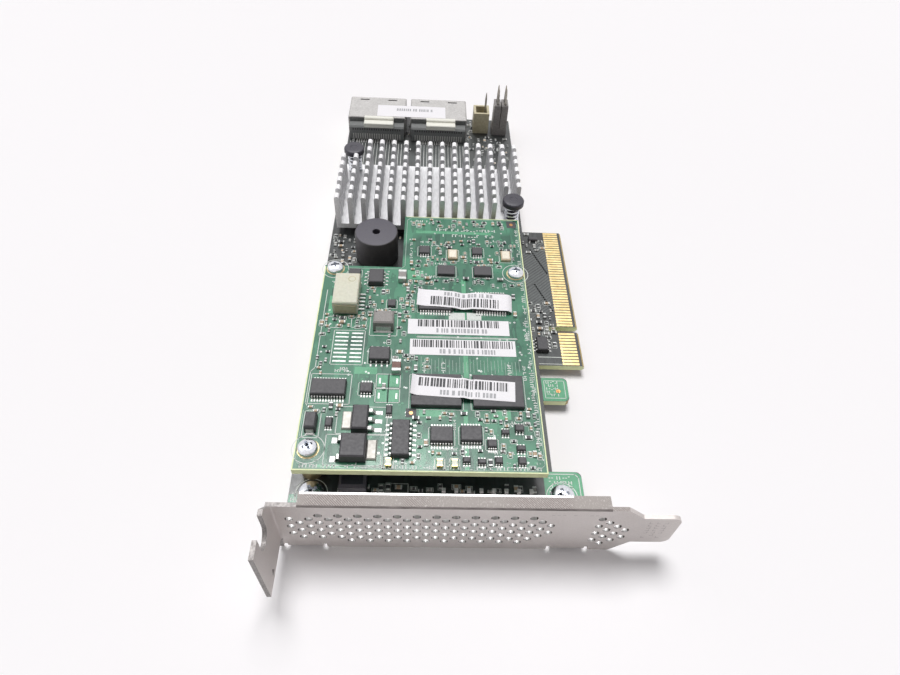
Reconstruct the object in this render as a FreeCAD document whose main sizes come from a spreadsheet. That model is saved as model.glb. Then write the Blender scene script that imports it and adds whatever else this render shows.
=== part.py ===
"""Low-profile storage controller card with a stacked module board.

Working axes, in millimetres: X runs from the card's plain long edge towards its
edge connector, Y runs from the outer face of the bracket towards the cable
ports, and Z is up from the component side of the main board.  Every piece is
then shifted so that the row's origin is the middle of the card's own box, at
the height of its lowest points.
"""
import FreeCAD
import Part
import Sketcher
import math
import os

os.makedirs("parts", exist_ok=True)
doc = FreeCAD.newDocument("controller_card")

# ---------------------------------------------------------------- dimensions
DIMENSIONS = {
    "board_reach": 160.0,  # bracket face to the rear edge of the main board
    "board_thickness": 1.6,  # both circuit boards
    "ear_setback": 6.0,  # bracket face to the two ears of the main board
    "recess_setback": 10.4,  # bracket face to the board edge between the ears
    "left_ear_width": 10.0,
    "right_ear_inset": 2.2,  # start of the right ear to the edge of the board
    "inner_width": 57.2,  # main board without its tabs
    "shoulder_depth": 6.4,  # right ear beyond the edge of the board
    "shoulder_end": 16.6,  # bracket face to the rear of the right ear
    "small_tab_depth": 6.5,
    "small_tab_start": 35.6,
    "small_tab_length": 7.0,
    "corner_radius": 1.2,
    "finger_depth": 11.7,  # edge connector beyond the edge of the board
    "finger_start": 46.5,
    "finger_length": 51.25,
    "finger_bevel": 0.5,
    "key_offset": 12.15,  # start of the edge connector to the middle of its key slot
    "key_width": 1.9,
    "key_depth": 8.2,
    "contact_pitch": 1.0,
    "contact_width": 0.7,
    "contact_length": 4.3,
    "contact_inset": 1.2,
    "contact_thickness": 0.05,
    "contact_margin": 0.6,  # start of the edge connector to its first contact
    "board_hole_radius": 1.6,
    "pin_hole_radius": 0.55,
    "pin_width": 0.64,
    "pin_pitch": 2.54,
    "tail_length": 0.9,  # pins and posts below the main board
    "bracket_left": -0.5,  # plain edge to the outside of the screw tab
    "bracket_length": 79.2,
    "bracket_height": 18.42,
    "sheet_thickness": 0.86,  # bracket sheet metal
    "bend_radius": 0.4,  # inside of the bracket's folds
    "lip_edge_radius": 0.6,  # outside of the fold between plate and lip
    "lip_start": 5.7,
    "lip_end_gap": 14.6,  # end of the lip to the end of the tongue
    "lip_depth": 3.0,
    "taper_length": 3.6,
    "tongue_length": 7.7,
    "tongue_bottom": 4.3,  # bottom of the plate to the bottom of the tongue
    "tongue_width": 10.9,
    "tongue_radius": 1.8,
    "screw_tab_depth": 11.43,
    "screw_tab_width": 18.42,
    "screw_tab_bottom": 4.0,  # bottom of the plate to the bottom of the screw tab
    "screw_tab_ramp": 2.4,
    "notch_width": 4.42,
    "notch_centre": 5.8,  # bracket face to the middle of the screw notch
    "notch_depth": 6.7,
    "mount_tab_width": 7.0,
    "mount_tab_left": 4.8,  # plain edge to the middle of the left mounting tab
    "mount_tab_outset": 1.5,  # edge of the board to the middle of the right mounting tab
    "mount_tab_reach": 14.2,
    "relief_width": 0.9,
    "relief_depth": 1.5,
    "vent_radius": 0.8,
    "vent_pitch": 3.73,
    "vent_row_pitch": 1.62,
    "vent_first_row": 3.4,
    "vent_field_start": 3.64,
    "small_vent_gap": 15.75,  # first of the short field's vents to the end of the tongue
    "bracket_screw_y": 10.5,
    "screw_head_radius": 2.7,
    "screw_head_height": 1.7,
    "screw_shank_radius": 1.4,
    "chip_width": 27.0,  # controller under the heat sink
    "chip_height": 2.1,
    "pad_height": 0.3,
    "sink_gap": 2.0,  # module board to the heat sink
    "sink_left": 1.6,
    "sink_length": 29.6,
    "sink_width": 54.0,
    "sink_base": 1.6,
    "sink_height": 13.5,  # top of the fins above the main board
    "fin_width": 1.4,
    "fin_count": 15,
    "slot_width": 1.9,
    "slot_count": 7,
    "clear_width": 7.6,  # cut-outs of the fins round the push pins
    "clear_length": 7.6,
    "push_pin_inset": 3.4,  # rear left pin, from two edges of the sink
    "push_pin_right": 2.65,  # front right pin, from the right edge of the sink
    "push_pin_front": 2.9,  # front right pin, from the front edge of the sink
    "push_head_radius": 3.1,
    "push_head_height": 1.8,
    "push_stem_radius": 1.3,
    "push_barb_radius": 1.55,
    "push_tip_length": 1.9,
    "push_top": 12.6,  # top of a push pin above the main board
    "spring_radius": 2.2,
    "spring_wall": 0.5,
    "port_width": 19.7,
    "port_height": 6.6,
    "port_overhang": 1.0,  # ports beyond the rear edge of the main board
    "port_length": 13.0,
    "port_wall": 0.4,
    "port_left": 10.0,  # plain edge to the middle of the first port
    "port_pitch": 21.3,
    "port_insert_length": 4.5,
    "port_step_height": 5.0,
    "port_step_length": 3.4,
    "port_slot_height": 1.2,
    "port_slot_width": 14.0,
    "port_lead_count": 18,
    "port_lead_pitch": 0.8,
    "port_lead_length": 2.0,
    "latch_width": 10.0,
    "latch_length": 4.0,
    "latch_height": 1.5,
    "shell_bend_radius": 0.5,  # folded top edges of a port cover
    "fit": 0.1,  # play between parts that slide together
    "shroud_left": 43.7,
    "shroud_rear": 3.0,  # shrouded header to the rear edge of the main board
    "shroud_width": 5.4,
    "shroud_length": 5.8,
    "shroud_height": 7.6,
    "shroud_wall": 0.8,
    "shroud_slot": 1.4,
    "shroud_pin_height": 14.0,
    "jumper_left": 50.4,
    "jumper_rear": 4.6,  # jumper header to the rear edge of the main board
    "jumper_base_height": 2.5,
    "jumper_pin_height": 17.0,
    "jumper_cap_height": 8.8,
    "jumper_cap_gap": 0.2,
    "buzzer_x": 14.0,
    "buzzer_gap": 8.9,  # middle of the buzzer to the heat sink
    "buzzer_radius": 6.0,
    "buzzer_height": 9.0,
    "buzzer_hole_radius": 1.1,
    "buzzer_hole_depth": 2.5,
    "buzzer_pin_spacing": 6.5,
    "module_left": 1.6,
    "module_front": 11.2,
    "module_width": 52.7,
    "module_length": 81.1,
    "module_notch_width": 20.2,
    "module_notch_length": 21.0,
    "standoff_height": 7.4,
    "standoff_radius": 2.4,
    "standoff_bore_radius": 1.2,
    "standoff_spigot_radius": 1.5,
    "module_screw_x": 2.8,
    "module_screw_y": 4.9,
    "module_screw_rear": 58.8,
    "module_screw_right": 50.2,
    "module_screw_length": 4.5,
    "stack_left": 24.0,
    "stack_front": 44.0,
    "stack_width": 26.0,
    "stack_length": 5.2,
    "stack_plug_height": 4.4,
    "stack_wall": 0.9,
    "label_thickness": 0.1,
    "port_label_width": 23.7,
    "port_label_length": 7.15,
    "passive_length": 1.6,  # resistors and small capacitors
    "passive_width": 0.8,
    "passive_height": 0.6,
    "passive_end": 0.35,  # plated end of a resistor or small capacitor
    "activity_led_inset": 24.2,  # first of eight to the edge of the board
    "activity_led_pitch": 2.72,
    "choke_width": 5.8,
    "choke_length": 4.4,
    "choke_height": 3.0,
    "lead_thickness": 0.2,  # leads of the moulded chips
    "body_lift": 0.1,  # moulded chips above their board
    "fin_crown": 0.5,  # rounded tip of a fin
}


class Length:
    """A length that knows its value and the spreadsheet formula behind it."""

    def __init__(self, value, formula):
        self.value = value
        self.formula = formula

    def join(self, other, sign, value):
        return Length(value, "(%s %s %s)" % (self.formula, sign, other.formula))

    def __add__(self, other):
        other = as_length(other)
        return self.join(other, "+", self.value + other.value)

    def __sub__(self, other):
        other = as_length(other)
        return self.join(other, "-", self.value - other.value)

    def __mul__(self, other):
        other = as_length(other)
        return self.join(other, "*", self.value * other.value)

    def __truediv__(self, other):
        other = as_length(other)
        return self.join(other, "/", self.value / other.value)

    def __radd__(self, other):
        return as_length(other) + self

    def __rsub__(self, other):
        return as_length(other) - self

    def __rmul__(self, other):
        return as_length(other) * self

    def __neg__(self):
        return as_length(0.0) - self


def as_length(number):
    if isinstance(number, Length):
        return number
    return Length(float(number), repr(float(number)))


class Sizes:
    """The driving dimensions, kept in a spreadsheet and read by name."""

    def __init__(self, values):
        self.sheet = doc.addObject("Spreadsheet::Sheet", "Sizes")
        self.names = {}
        for row, (name, value) in enumerate(values.items(), start=1):
            self.sheet.set("A%d" % row, name)
            self.sheet.set("B%d" % row, str(value))
            self.sheet.setAlias("B%d" % row, name)
            self.names[name] = Length(float(value), "Sizes." + name)

    def __getattr__(self, name):
        return self.names[name]


size = Sizes(DIMENSIONS)
doc.recompute()

# the row's origin, in working axes
bottom = -size.board_thickness - size.push_tip_length
right_ear_start = size.inner_width - size.right_ear_inset
shoulder_width = size.inner_width + size.shoulder_depth
small_tab_width = size.inner_width + size.small_tab_depth
finger_reach = size.inner_width + size.finger_depth
mount_tab_right = size.inner_width + size.mount_tab_outset
sink_start = size.module_front + size.module_length + size.sink_gap
buzzer_y = sink_start - size.buzzer_gap
port_front = size.board_reach + size.port_overhang - size.port_length
origin_x = size.bracket_left + size.bracket_length / 2
origin_y = (port_front + size.port_length - size.screw_tab_depth) / 2
origin = (origin_x, origin_y, bottom)
nodes = []


# ------------------------------------------------------------------- helpers
def place(obj, x, y, z):
    """Put an object's own origin at a point given in working axes."""
    for axis, where, zero in zip("xyz", (x, y, z), origin):
        obj.setExpression("Placement.Base.%s" % axis, (as_length(where) - zero).formula)
    return obj


def node(obj, label):
    """Name an object as one of the card's sub-parts."""
    obj.Label = label
    nodes.append(obj)
    return obj


def box(x, y, z, width, length, height):
    """A box with its lowest corner at (x, y, z)."""
    obj = doc.addObject("Part::Box", "box")
    for name, value in (("Length", width), ("Width", length), ("Height", height)):
        obj.setExpression(name, as_length(value).formula)
    return place(obj, x, y, z)


def cylinder(x, y, z, radius, height):
    """An upright cylinder standing on (x, y, z)."""
    obj = doc.addObject("Part::Cylinder", "cylinder")
    obj.setExpression("Radius", as_length(radius).formula)
    obj.setExpression("Height", as_length(height).formula)
    return place(obj, x, y, z)


def group(label, members):
    """Several separate solids of one kind in one node."""
    obj = doc.addObject("Part::Compound", "group")
    obj.Links = members
    return node(obj, label)


def cut(base, tool):
    obj = doc.addObject("Part::Cut", "cut")
    obj.Base = base
    obj.Tool = tool
    return obj


def body(label, x=0.0, y=0.0, z=0.0):
    obj = doc.addObject("PartDesign::Body", "body")
    place(obj, x, y, z)
    return node(obj, label)


def sketch(owner, role, offset=0.0):
    """A sketch on one of a body's own origin planes, lifted by an offset."""
    obj = owner.newObject("Sketcher::SketchObject", "sketch")
    plane = [item for item in owner.Origin.OriginFeatures if item.Role == role][0]
    obj.AttachmentSupport = [(plane, "")]
    obj.MapMode = "FlatFace"
    obj.setExpression("AttachmentOffset.Base.z", as_length(offset).formula)
    return obj


def pin_point(target, geometry, end, x, y):
    """Hold one end of a sketch line at (x, y) by two driving dimensions."""
    for kind, value in (("DistanceX", as_length(x)), ("DistanceY", as_length(y))):
        index = target.addConstraint(Sketcher.Constraint(kind, -1, 1, geometry, end, value.value))
        target.setExpression("Constraints[%d]" % index, value.formula)


def outline(target, points):
    """A closed outline of straight lines through points of Lengths."""
    corners = [FreeCAD.Vector(as_length(x).value, as_length(y).value, 0) for x, y in points]
    first = target.GeometryCount
    for start, end in zip(corners, corners[1:] + corners[:1]):
        target.addGeometry(Part.LineSegment(start, end))
    for number, (x, y) in enumerate(points):
        previous = first + (number - 1) % len(points)
        target.addConstraint(Sketcher.Constraint("Coincident", previous, 2, first + number, 1))
        pin_point(target, first + number, 1, x, y)


def rectangle(target, x0, y0, x1, y1):
    outline(target, [(x0, y0), (x1, y0), (x1, y1), (x0, y1)])


def circle(target, x, y, radius):
    """A circle held by its centre and its radius."""
    centre = FreeCAD.Vector(as_length(x).value, as_length(y).value, 0)
    up = FreeCAD.Vector(0, 0, 1)
    number = target.addGeometry(Part.Circle(centre, up, as_length(radius).value))
    pin_point(target, number, 3, x, y)
    index = target.addConstraint(Sketcher.Constraint("Radius", number, as_length(radius).value))
    target.setExpression("Constraints[%d]" % index, as_length(radius).formula)


def round_corner(target, x, y, radius):
    """What a rounded upper left corner at (x, y) leaves over, as short straight lines."""
    beyond = radius / 4
    points = [(x - beyond, y + beyond), (x - beyond, y - radius), (x, y - radius)]
    for turn_part in (1, 2, 3):
        angle = math.radians(22.5 * turn_part)
        points.append((x + radius * (1 - math.cos(angle)), y - radius * (1 - math.sin(angle))))
    points.append((x + radius, y))
    points.append((x + radius, y + beyond))
    outline(target, points)


def pad(owner, profile, length):
    obj = owner.newObject("PartDesign::Pad", "pad")
    obj.Profile = profile
    obj.setExpression("Length", as_length(length).formula)
    return obj


def pocket(owner, profile, length=None, reverse=False):
    """Cut a sketch's shape away, through everything unless a depth is given."""
    obj = owner.newObject("PartDesign::Pocket", "pocket")
    obj.Profile = profile
    obj.Reversed = reverse
    if length is None:
        obj.Type = "ThroughAll"
        obj.Midplane = True
    else:
        obj.setExpression("Length", as_length(length).formula)
    return obj


def row_of(owner, feature, role, span, count):
    """Repeat a feature in a straight row."""
    obj = owner.newObject("PartDesign::LinearPattern", "row")
    obj.Originals = [feature]
    axis = [item for item in owner.Origin.OriginFeatures if item.Role == role][0]
    obj.Direction = (axis, [""])
    obj.setExpression("Length", as_length(span).formula)
    obj.setExpression("Occurrences", as_length(count).formula)
    owner.Tip = obj
    return obj


def edges_where(obj, test):
    """Names of the edges whose middle passes a test."""
    doc.recompute()
    names = []
    for number, edge in enumerate(obj.Shape.Edges, start=1):
        middle = edge.valueAt((edge.FirstParameter + edge.LastParameter) / 2)
        if test(edge, middle):
            names.append("Edge%d" % number)
    return names


def near(a, b):
    return abs(a - b) < 0.001


def upright(edge):
    ends = edge.Vertexes
    return len(ends) == 2 and near(ends[0].X, ends[1].X) and near(ends[0].Y, ends[1].Y)


def round_edges(owner, base, names, radius):
    obj = owner.newObject("PartDesign::Fillet", "fillet")
    obj.Base = (base, names)
    obj.setExpression("Radius", as_length(radius).formula)
    return obj


def turned(label, profile, x, y, z):
    """A body turned about a vertical axis from a (radius, height) outline."""
    owner = body(label, x, y, z)
    return turn(owner, profile)


def turn(owner, profile):
    shape = sketch(owner, "XZ_Plane")
    outline(shape, profile)
    obj = owner.newObject("PartDesign::Revolution", "turned")
    obj.Profile = shape
    obj.ReferenceAxis = (shape, ["V_Axis"])
    obj.Angle = 360.0
    return owner


def loose_turned(profile, x, y, z):
    """A turned body that is one member of a group."""
    owner = doc.addObject("PartDesign::Body", "body")
    place(owner, x, y, z)
    return turn(owner, profile)


def solids(label, shapes, x, y, z):
    """A node of many small separate solids, built from the sheet's values."""
    obj = doc.addObject("Part::Feature", label)
    obj.Shape = Part.makeCompound(shapes)
    place(obj, x, y, z)
    return node(obj, label)


def block(x, y, z, width, length, height):
    """A plain solid block centred on (x, y), standing on z."""
    corner = FreeCAD.Vector(x - width / 2, y - length / 2, z)
    return Part.makeBox(width, length, height, corner)


# ---------------------------------------------------------------- main board
def main_board():
    owner = body("main_board", 0.0, 0.0, -size.board_thickness)
    finger_end = size.finger_start + size.finger_length
    tab_end = size.small_tab_start + size.small_tab_length
    face = sketch(owner, "XY_Plane")
    outline(face, [
        (0.0, size.ear_setback),
        (size.left_ear_width, size.ear_setback),
        (size.left_ear_width, size.recess_setback),
        (right_ear_start, size.recess_setback),
        (right_ear_start, size.ear_setback),
        (shoulder_width, size.ear_setback),
        (shoulder_width, size.shoulder_end),
        (size.inner_width, size.shoulder_end),
        (size.inner_width, size.small_tab_start),
        (small_tab_width, size.small_tab_start),
        (small_tab_width, tab_end),
        (size.inner_width, tab_end),
        (size.inner_width, size.finger_start),
        (finger_reach, size.finger_start),
        (finger_reach, finger_end),
        (size.inner_width, finger_end),
        (size.inner_width, size.board_reach),
        (0.0, size.board_reach),
    ])
    slab = pad(owner, face, size.board_thickness)

    def outer_corner(edge, middle):
        on_ear = near(middle.x, shoulder_width.value) and middle.y > size.ear_setback.value
        on_tab = near(middle.x, small_tab_width.value)
        return upright(edge) and (on_ear or on_tab)

    rounded = round_edges(owner, slab, edges_where(slab, outer_corner), size.corner_radius)

    def finger_tip(edge, middle):
        return not upright(edge) and near(middle.x, finger_reach.value)

    bevel = owner.newObject("PartDesign::Chamfer", "bevel")
    bevel.Base = (rounded, edges_where(rounded, finger_tip))
    bevel.setExpression("Size", size.finger_bevel.formula)

    key = sketch(owner, "XY_Plane")
    middle = size.finger_start + size.key_offset
    rectangle(key, finger_reach - size.key_depth, middle - size.key_width / 2,
              finger_reach + size.finger_bevel, middle + size.key_width / 2)
    pocket(owner, key)

    holes = sketch(owner, "XY_Plane")
    for x, y in bracket_screw_places() + push_pin_places() + standoff_places():
        circle(holes, x, y, size.board_hole_radius)
    pocket(owner, holes)

    pins = sketch(owner, "XY_Plane")
    for x, y in shroud_pin_places() + jumper_pin_places() + buzzer_pin_places():
        circle(pins, x, y, size.pin_hole_radius)
    pocket(owner, pins)
    return owner


def edge_contacts():
    """Gold contacts on both faces of the edge connector, 11 before the key and 38 after it."""
    shapes = []
    after_key = size.key_offset.value + size.key_width.value / 2 + size.contact_margin.value
    starts = ((size.contact_margin.value, 11), (after_key, 38))
    inner = -size.contact_inset.value - size.contact_length.value / 2
    for start, count in starts:
        for number in range(count):
            y = start + number * size.contact_pitch.value
            for z in (0.0, -size.board_thickness.value - size.contact_thickness.value):
                shapes.append(block(inner, y, z, size.contact_length.value,
                                    size.contact_width.value, size.contact_thickness.value))
    solids("edge_contacts", shapes, finger_reach, size.finger_start, 0.0)


# ------------------------------------------------------------------- bracket
def bracket_screw_places():
    return [(size.mount_tab_left, size.bracket_screw_y),
            (mount_tab_right, size.bracket_screw_y)]


def vent_places():
    """Staggered vents: a long field, and a short one beyond the plain patch."""
    long_rows = ((3, 13), (0, 13), (0, 14), (0, 14), (0, 14), (0, 14), (0, 14), (1, 13))
    short_rows = (1, 2, 2, 2, 2, 2, 1, 1)
    small_start = size.bracket_length - size.small_vent_gap
    places = []
    for row, (first, end) in enumerate(long_rows):
        z = size.vent_first_row + row * size.vent_row_pitch
        half = (row % 2) * 0.5
        for column in range(first, end):
            places.append((size.vent_field_start + (column + half) * size.vent_pitch, z))
        for column in range(short_rows[row]):
            places.append((small_start + (column + 0.5 - half) * size.vent_pitch, z))
    return places


def bracket():
    """One folded sheet: perforated face, screw tab, stiffening lip and two mounting tabs."""
    base = -size.board_thickness - size.sheet_thickness
    owner = body("bracket", size.bracket_left, 0.0, base)
    top = size.bracket_height
    low = size.tongue_bottom
    high = low + size.tongue_width
    mount_tabs = (size.mount_tab_left - size.bracket_left,
                  mount_tab_right - size.bracket_left)
    tab_top = size.screw_tab_bottom + size.screw_tab_width
    tongue_start = size.bracket_length - size.tongue_length
    taper_start = tongue_start - size.taper_length
    lip_end = size.bracket_length - size.lip_end_gap

    face = sketch(owner, "XZ_Plane")
    outline(face, [
        (0.0, 0.0), (taper_start, 0.0), (tongue_start, low),
        (size.bracket_length, low), (size.bracket_length, high),
        (tongue_start, high), (taper_start, top), (0.0, top),
    ])
    plate = pad(owner, face, size.sheet_thickness)
    plate.Reversed = True

    lip = sketch(owner, "XZ_Plane")
    rectangle(lip, size.lip_start, top - size.sheet_thickness, lip_end, top)
    lip_pad = pad(owner, lip, size.lip_depth)
    lip_pad.Reversed = True

    side = sketch(owner, "YZ_Plane")
    edge = -size.screw_tab_depth
    outline(side, [
        (size.sheet_thickness, size.screw_tab_bottom), (edge, size.screw_tab_bottom), (edge, tab_top),
        (-size.screw_tab_ramp, tab_top), (0.0, top), (size.sheet_thickness, top),
    ])
    pad(owner, side, size.sheet_thickness)

    mounts = sketch(owner, "XY_Plane")
    for x in mount_tabs:
        rectangle(mounts, x - size.mount_tab_width / 2, 0.0,
                  x + size.mount_tab_width / 2, size.mount_tab_reach)
    folded = pad(owner, mounts, size.sheet_thickness)

    thick = size.sheet_thickness.value

    def inside_bend(edge, middle):
        at_lip = near(middle.y, thick) and near(middle.z, (top - size.sheet_thickness).value)
        at_mount = near(middle.y, thick) and near(middle.z, thick)
        at_tab = near(middle.y, 0.0) and near(middle.x, thick) and upright(edge)
        return at_lip or at_mount or at_tab

    round_edges(owner, folded, edges_where(folded, inside_bend), size.bend_radius)

    reliefs = sketch(owner, "XZ_Plane")
    for x in mount_tabs:
        for side_sign in (-1, 1):
            start = x + side_sign * size.mount_tab_width / 2
            end = start + side_sign * size.relief_width
            rectangle(reliefs, start, -size.sheet_thickness, end, size.relief_depth)
    relief_cut = pocket(owner, reliefs)

    def under_bend(edge, middle):
        at_mount = near(middle.y, 0.0) and near(middle.z, 0.0)
        between = any(abs(middle.x - x.value) < size.mount_tab_width.value / 2
                      for x in mount_tabs)
        return at_mount and between

    round_edges(owner, relief_cut, edges_where(relief_cut, under_bend),
                size.bend_radius + size.sheet_thickness / 2)

    bend = sketch(owner, "YZ_Plane", lip_end)
    round_corner(bend, 0.0, top, size.lip_edge_radius)
    pocket(owner, bend, lip_end - size.lip_start)

    notch = sketch(owner, "YZ_Plane")
    notch_end = tab_top - size.notch_depth + size.notch_width / 2
    rectangle(notch, -size.notch_centre - size.notch_width / 2, notch_end,
              -size.notch_centre + size.notch_width / 2, tab_top + size.sheet_thickness)
    pocket(owner, notch)
    seat = sketch(owner, "YZ_Plane")
    circle(seat, -size.notch_centre, notch_end, size.notch_width / 2)
    pocket(owner, seat)

    holes = sketch(owner, "XY_Plane")
    for x in mount_tabs:
        circle(holes, x, size.bracket_screw_y, size.board_hole_radius)
    last = pocket(owner, holes, size.sheet_thickness * 2)
    last.Midplane = True

    def tongue_end(edge, middle):
        at_corner = near(middle.z, low.value) or near(middle.z, high.value)
        return near(middle.x, size.bracket_length.value) and at_corner

    round_edges(owner, last, edges_where(last, tongue_end), size.tongue_radius)

    vents = sketch(owner, "XZ_Plane")
    for x, z in vent_places():
        circle(vents, x, z, size.vent_radius)
    pocket(owner, vents, size.sheet_thickness * 2)
    return owner


def screw_profile(shank_length):
    """Pan head above a shank, turned."""
    head = size.screw_head_height
    return [(0.0, -shank_length), (size.screw_shank_radius, -shank_length),
            (size.screw_shank_radius, 0.0), (size.screw_head_radius, 0.0),
            (size.screw_head_radius, head * 0.45), (size.screw_head_radius * 0.72, head),
            (0.0, head)]


def bracket_screws():
    shank = size.board_thickness + size.sheet_thickness
    members = [loose_turned(screw_profile(shank), x, y, 0.0) for x, y in bracket_screw_places()]
    group("bracket_screws", members)


# ----------------------------------------------------------------- heat sink
def sink_base_z():
    return size.chip_height + size.pad_height


def push_pin_places():
    """One push pin at the sink's rear left corner, one at its front right corner."""
    left = size.sink_left + size.push_pin_inset
    right = size.sink_left + size.sink_width - size.push_pin_right
    rear = sink_start + size.sink_length - size.push_pin_inset
    front = sink_start + size.push_pin_front
    return [(left, rear), (right, front)]


def controller():
    x = size.sink_left + (size.sink_width - size.chip_width) / 2
    y = sink_start + (size.sink_length - size.chip_width) / 2
    node(box(x, y, 0.0, size.chip_width, size.chip_width, size.chip_height), "controller_chip")
    inset = size.fin_width
    pad_size = size.chip_width - inset * 2
    node(box(x + inset, y + inset, size.chip_height, pad_size, pad_size, size.pad_height),
         "thermal_pad")


def heat_sink():
    """An extruded comb of fins, cross-cut into pins, with two corners cleared."""
    owner = body("heat_sink", size.sink_left, sink_start, sink_base_z())
    tall = size.sink_height - sink_base_z()
    base = sketch(owner, "XY_Plane")
    rectangle(base, 0.0, 0.0, size.sink_width, size.sink_length)
    pad(owner, base, size.sink_base)
    blade = sketch(owner, "XZ_Plane")
    half = size.fin_width / 2
    shoulder = half * 0.6
    outline(blade, [
        (0.0, 0.0), (size.fin_width, 0.0), (size.fin_width, tall - size.fin_crown),
        (half + shoulder, tall - size.fin_crown * 0.25), (half, tall),
        (half - shoulder, tall - size.fin_crown * 0.25), (0.0, tall - size.fin_crown),
    ])
    fin = pad(owner, blade, size.sink_length)
    fin.Reversed = True
    row_of(owner, fin, "X_Axis", size.sink_width - size.fin_width, size.fin_count)

    tooth = (size.sink_length - size.slot_count * size.slot_width) / (size.slot_count + 1)
    saw = sketch(owner, "XY_Plane", size.sink_base)
    rectangle(saw, -size.fit, tooth, size.sink_width + size.fit, tooth + size.slot_width)
    slot = pocket(owner, saw, tall, True)
    step = tooth + size.slot_width
    row_of(owner, slot, "Y_Axis", step * (size.slot_count - 1), size.slot_count)

    corners = sketch(owner, "XY_Plane", size.sink_base)
    rectangle(corners, -size.fit, size.sink_length - size.clear_length,
              size.clear_width, size.sink_length + size.fit)
    rectangle(corners, size.sink_width - size.clear_width, -size.fit,
              size.sink_width + size.fit, size.clear_length)
    pocket(owner, corners, tall, True)

    holes = sketch(owner, "XY_Plane")
    for x, y in push_pin_places():
        circle(holes, x - size.sink_left, y - sink_start, size.board_hole_radius)
    last = pocket(owner, holes)
    owner.Tip = last
    return owner


def push_pins():
    """Plastic push pins with a barbed tip under the board."""
    top = size.push_top
    head = size.push_head_height
    under = size.board_thickness
    profile = [
        (0.0, -under - size.push_tip_length),
        (size.push_stem_radius * 0.5, -under - size.push_tip_length),
        (size.push_barb_radius + size.fit * 3, -under - size.fit),
        (size.push_stem_radius, -under - size.fit),
        (size.push_stem_radius, top - head),
        (size.push_head_radius, top - head),
        (size.push_head_radius, top - head * 0.4),
        (size.push_head_radius * 0.8, top),
        (0.0, top),
    ]
    group("push_pins", [loose_turned(profile, x, y, 0.0) for x, y in push_pin_places()])
    start = sink_base_z() + size.sink_base
    end = top - head
    ring = [(size.spring_radius - size.spring_wall, start), (size.spring_radius, start),
            (size.spring_radius, end), (size.spring_radius - size.spring_wall, end)]
    group("push_pin_springs", [loose_turned(ring, x, y, 0.0) for x, y in push_pin_places()])


# --------------------------------------------------------------- cable ports
def port_shell(label, x):
    """A folded cover, open to the rear and underneath."""
    owner = body(label, x, port_front, 0.0)
    half = size.port_width / 2
    block_face = sketch(owner, "XY_Plane")
    rectangle(block_face, -half, 0.0, half, size.port_length)
    pad(owner, block_face, size.port_height)
    inside = sketch(owner, "XY_Plane")
    wall = size.port_wall
    rectangle(inside, wall - half, -wall, half - wall, size.port_length + wall)
    cavity = pocket(owner, inside, size.port_height - wall, True)

    def folded_edge(edge, middle):
        outer = near(abs(middle.x), half.value) and near(middle.z, size.port_height.value)
        return outer and near(middle.y, size.port_length.value / 2)

    rounded = round_edges(owner, cavity, edges_where(cavity, folded_edge), size.shell_bend_radius)
    window = sketch(owner, "XY_Plane", size.port_height)
    for shift in (-0.25, 0.25):
        centre = size.port_width * shift
        rectangle(window, centre - wall * 4, size.port_length - wall * 5,
                  centre + wall * 4, size.port_length - wall * 3)
    owner.Tip = rounded
    pocket(owner, window, wall * 2)
    return owner


def port_housing(label, x):
    """Black insulator: a step that carries the latch and a slotted nose in the cover."""
    step = size.port_step_length
    rear = step + size.port_insert_length
    half = size.port_width / 2 - size.port_wall - size.fit
    owner = body(label, x, port_front - step, 0.0)
    profile = sketch(owner, "YZ_Plane")
    tall = size.port_height - size.port_wall - size.fit
    outline(profile, [
        (0.0, 0.0), (rear, 0.0), (rear, tall), (step, tall),
        (step, size.port_step_height), (size.fit * 5, size.port_step_height),
        (0.0, size.port_step_height - size.fit * 5),
    ])
    solid = pad(owner, profile, half * 2)
    solid.Midplane = True
    slot = sketch(owner, "XZ_Plane", -rear)
    middle = tall / 2
    rectangle(slot, -size.port_slot_width / 2, middle - size.port_slot_height / 2,
              size.port_slot_width / 2, middle + size.port_slot_height / 2)
    pocket(owner, slot, size.port_insert_length, True)
    return owner


def port_leads(label, x):
    """The row of contact tails in front of a port."""
    shapes = []
    span = (size.port_lead_count.value - 1) * size.port_lead_pitch.value
    thin = size.fit.value * 2
    for number in range(int(size.port_lead_count.value)):
        place_x = number * size.port_lead_pitch.value - span / 2
        shapes.append(block(place_x, -size.port_lead_length.value / 2, 0.0,
                            size.port_lead_pitch.value / 2, size.port_lead_length.value, thin))
    solids(label, shapes, x, port_front - size.port_step_length, 0.0)


def ports():
    for name, number in (("left", 0), ("right", 1)):
        x = size.port_left + size.port_pitch * number
        port_shell("port_shell_" + name, x)
        port_housing("port_housing_" + name, x)
        port_leads("port_leads_" + name, x)
        latch_x = x - size.latch_width / 2 + size.port_wall * 2
        node(box(latch_x, port_front - size.latch_length, size.port_step_height,
                 size.latch_width, size.latch_length, size.latch_height),
             "port_latch_" + name)


# ------------------------------------------------------------- rear headers
def shroud_front():
    return size.board_reach - size.shroud_rear - size.shroud_length


def jumper_front():
    return size.board_reach - size.jumper_rear - size.pin_pitch * 2


def shroud_pin_places():
    y = shroud_front() + size.shroud_length / 2
    middle = size.shroud_left + size.shroud_width / 2
    return [(middle - size.pin_pitch / 2, y), (middle + size.pin_pitch / 2, y)]


def square_pin(x, y, low, high):
    half = size.pin_width / 2
    return box(x - half, y - half, low, size.pin_width, size.pin_width, high - low)


def tail_end():
    return -size.board_thickness - size.tail_length


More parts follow.
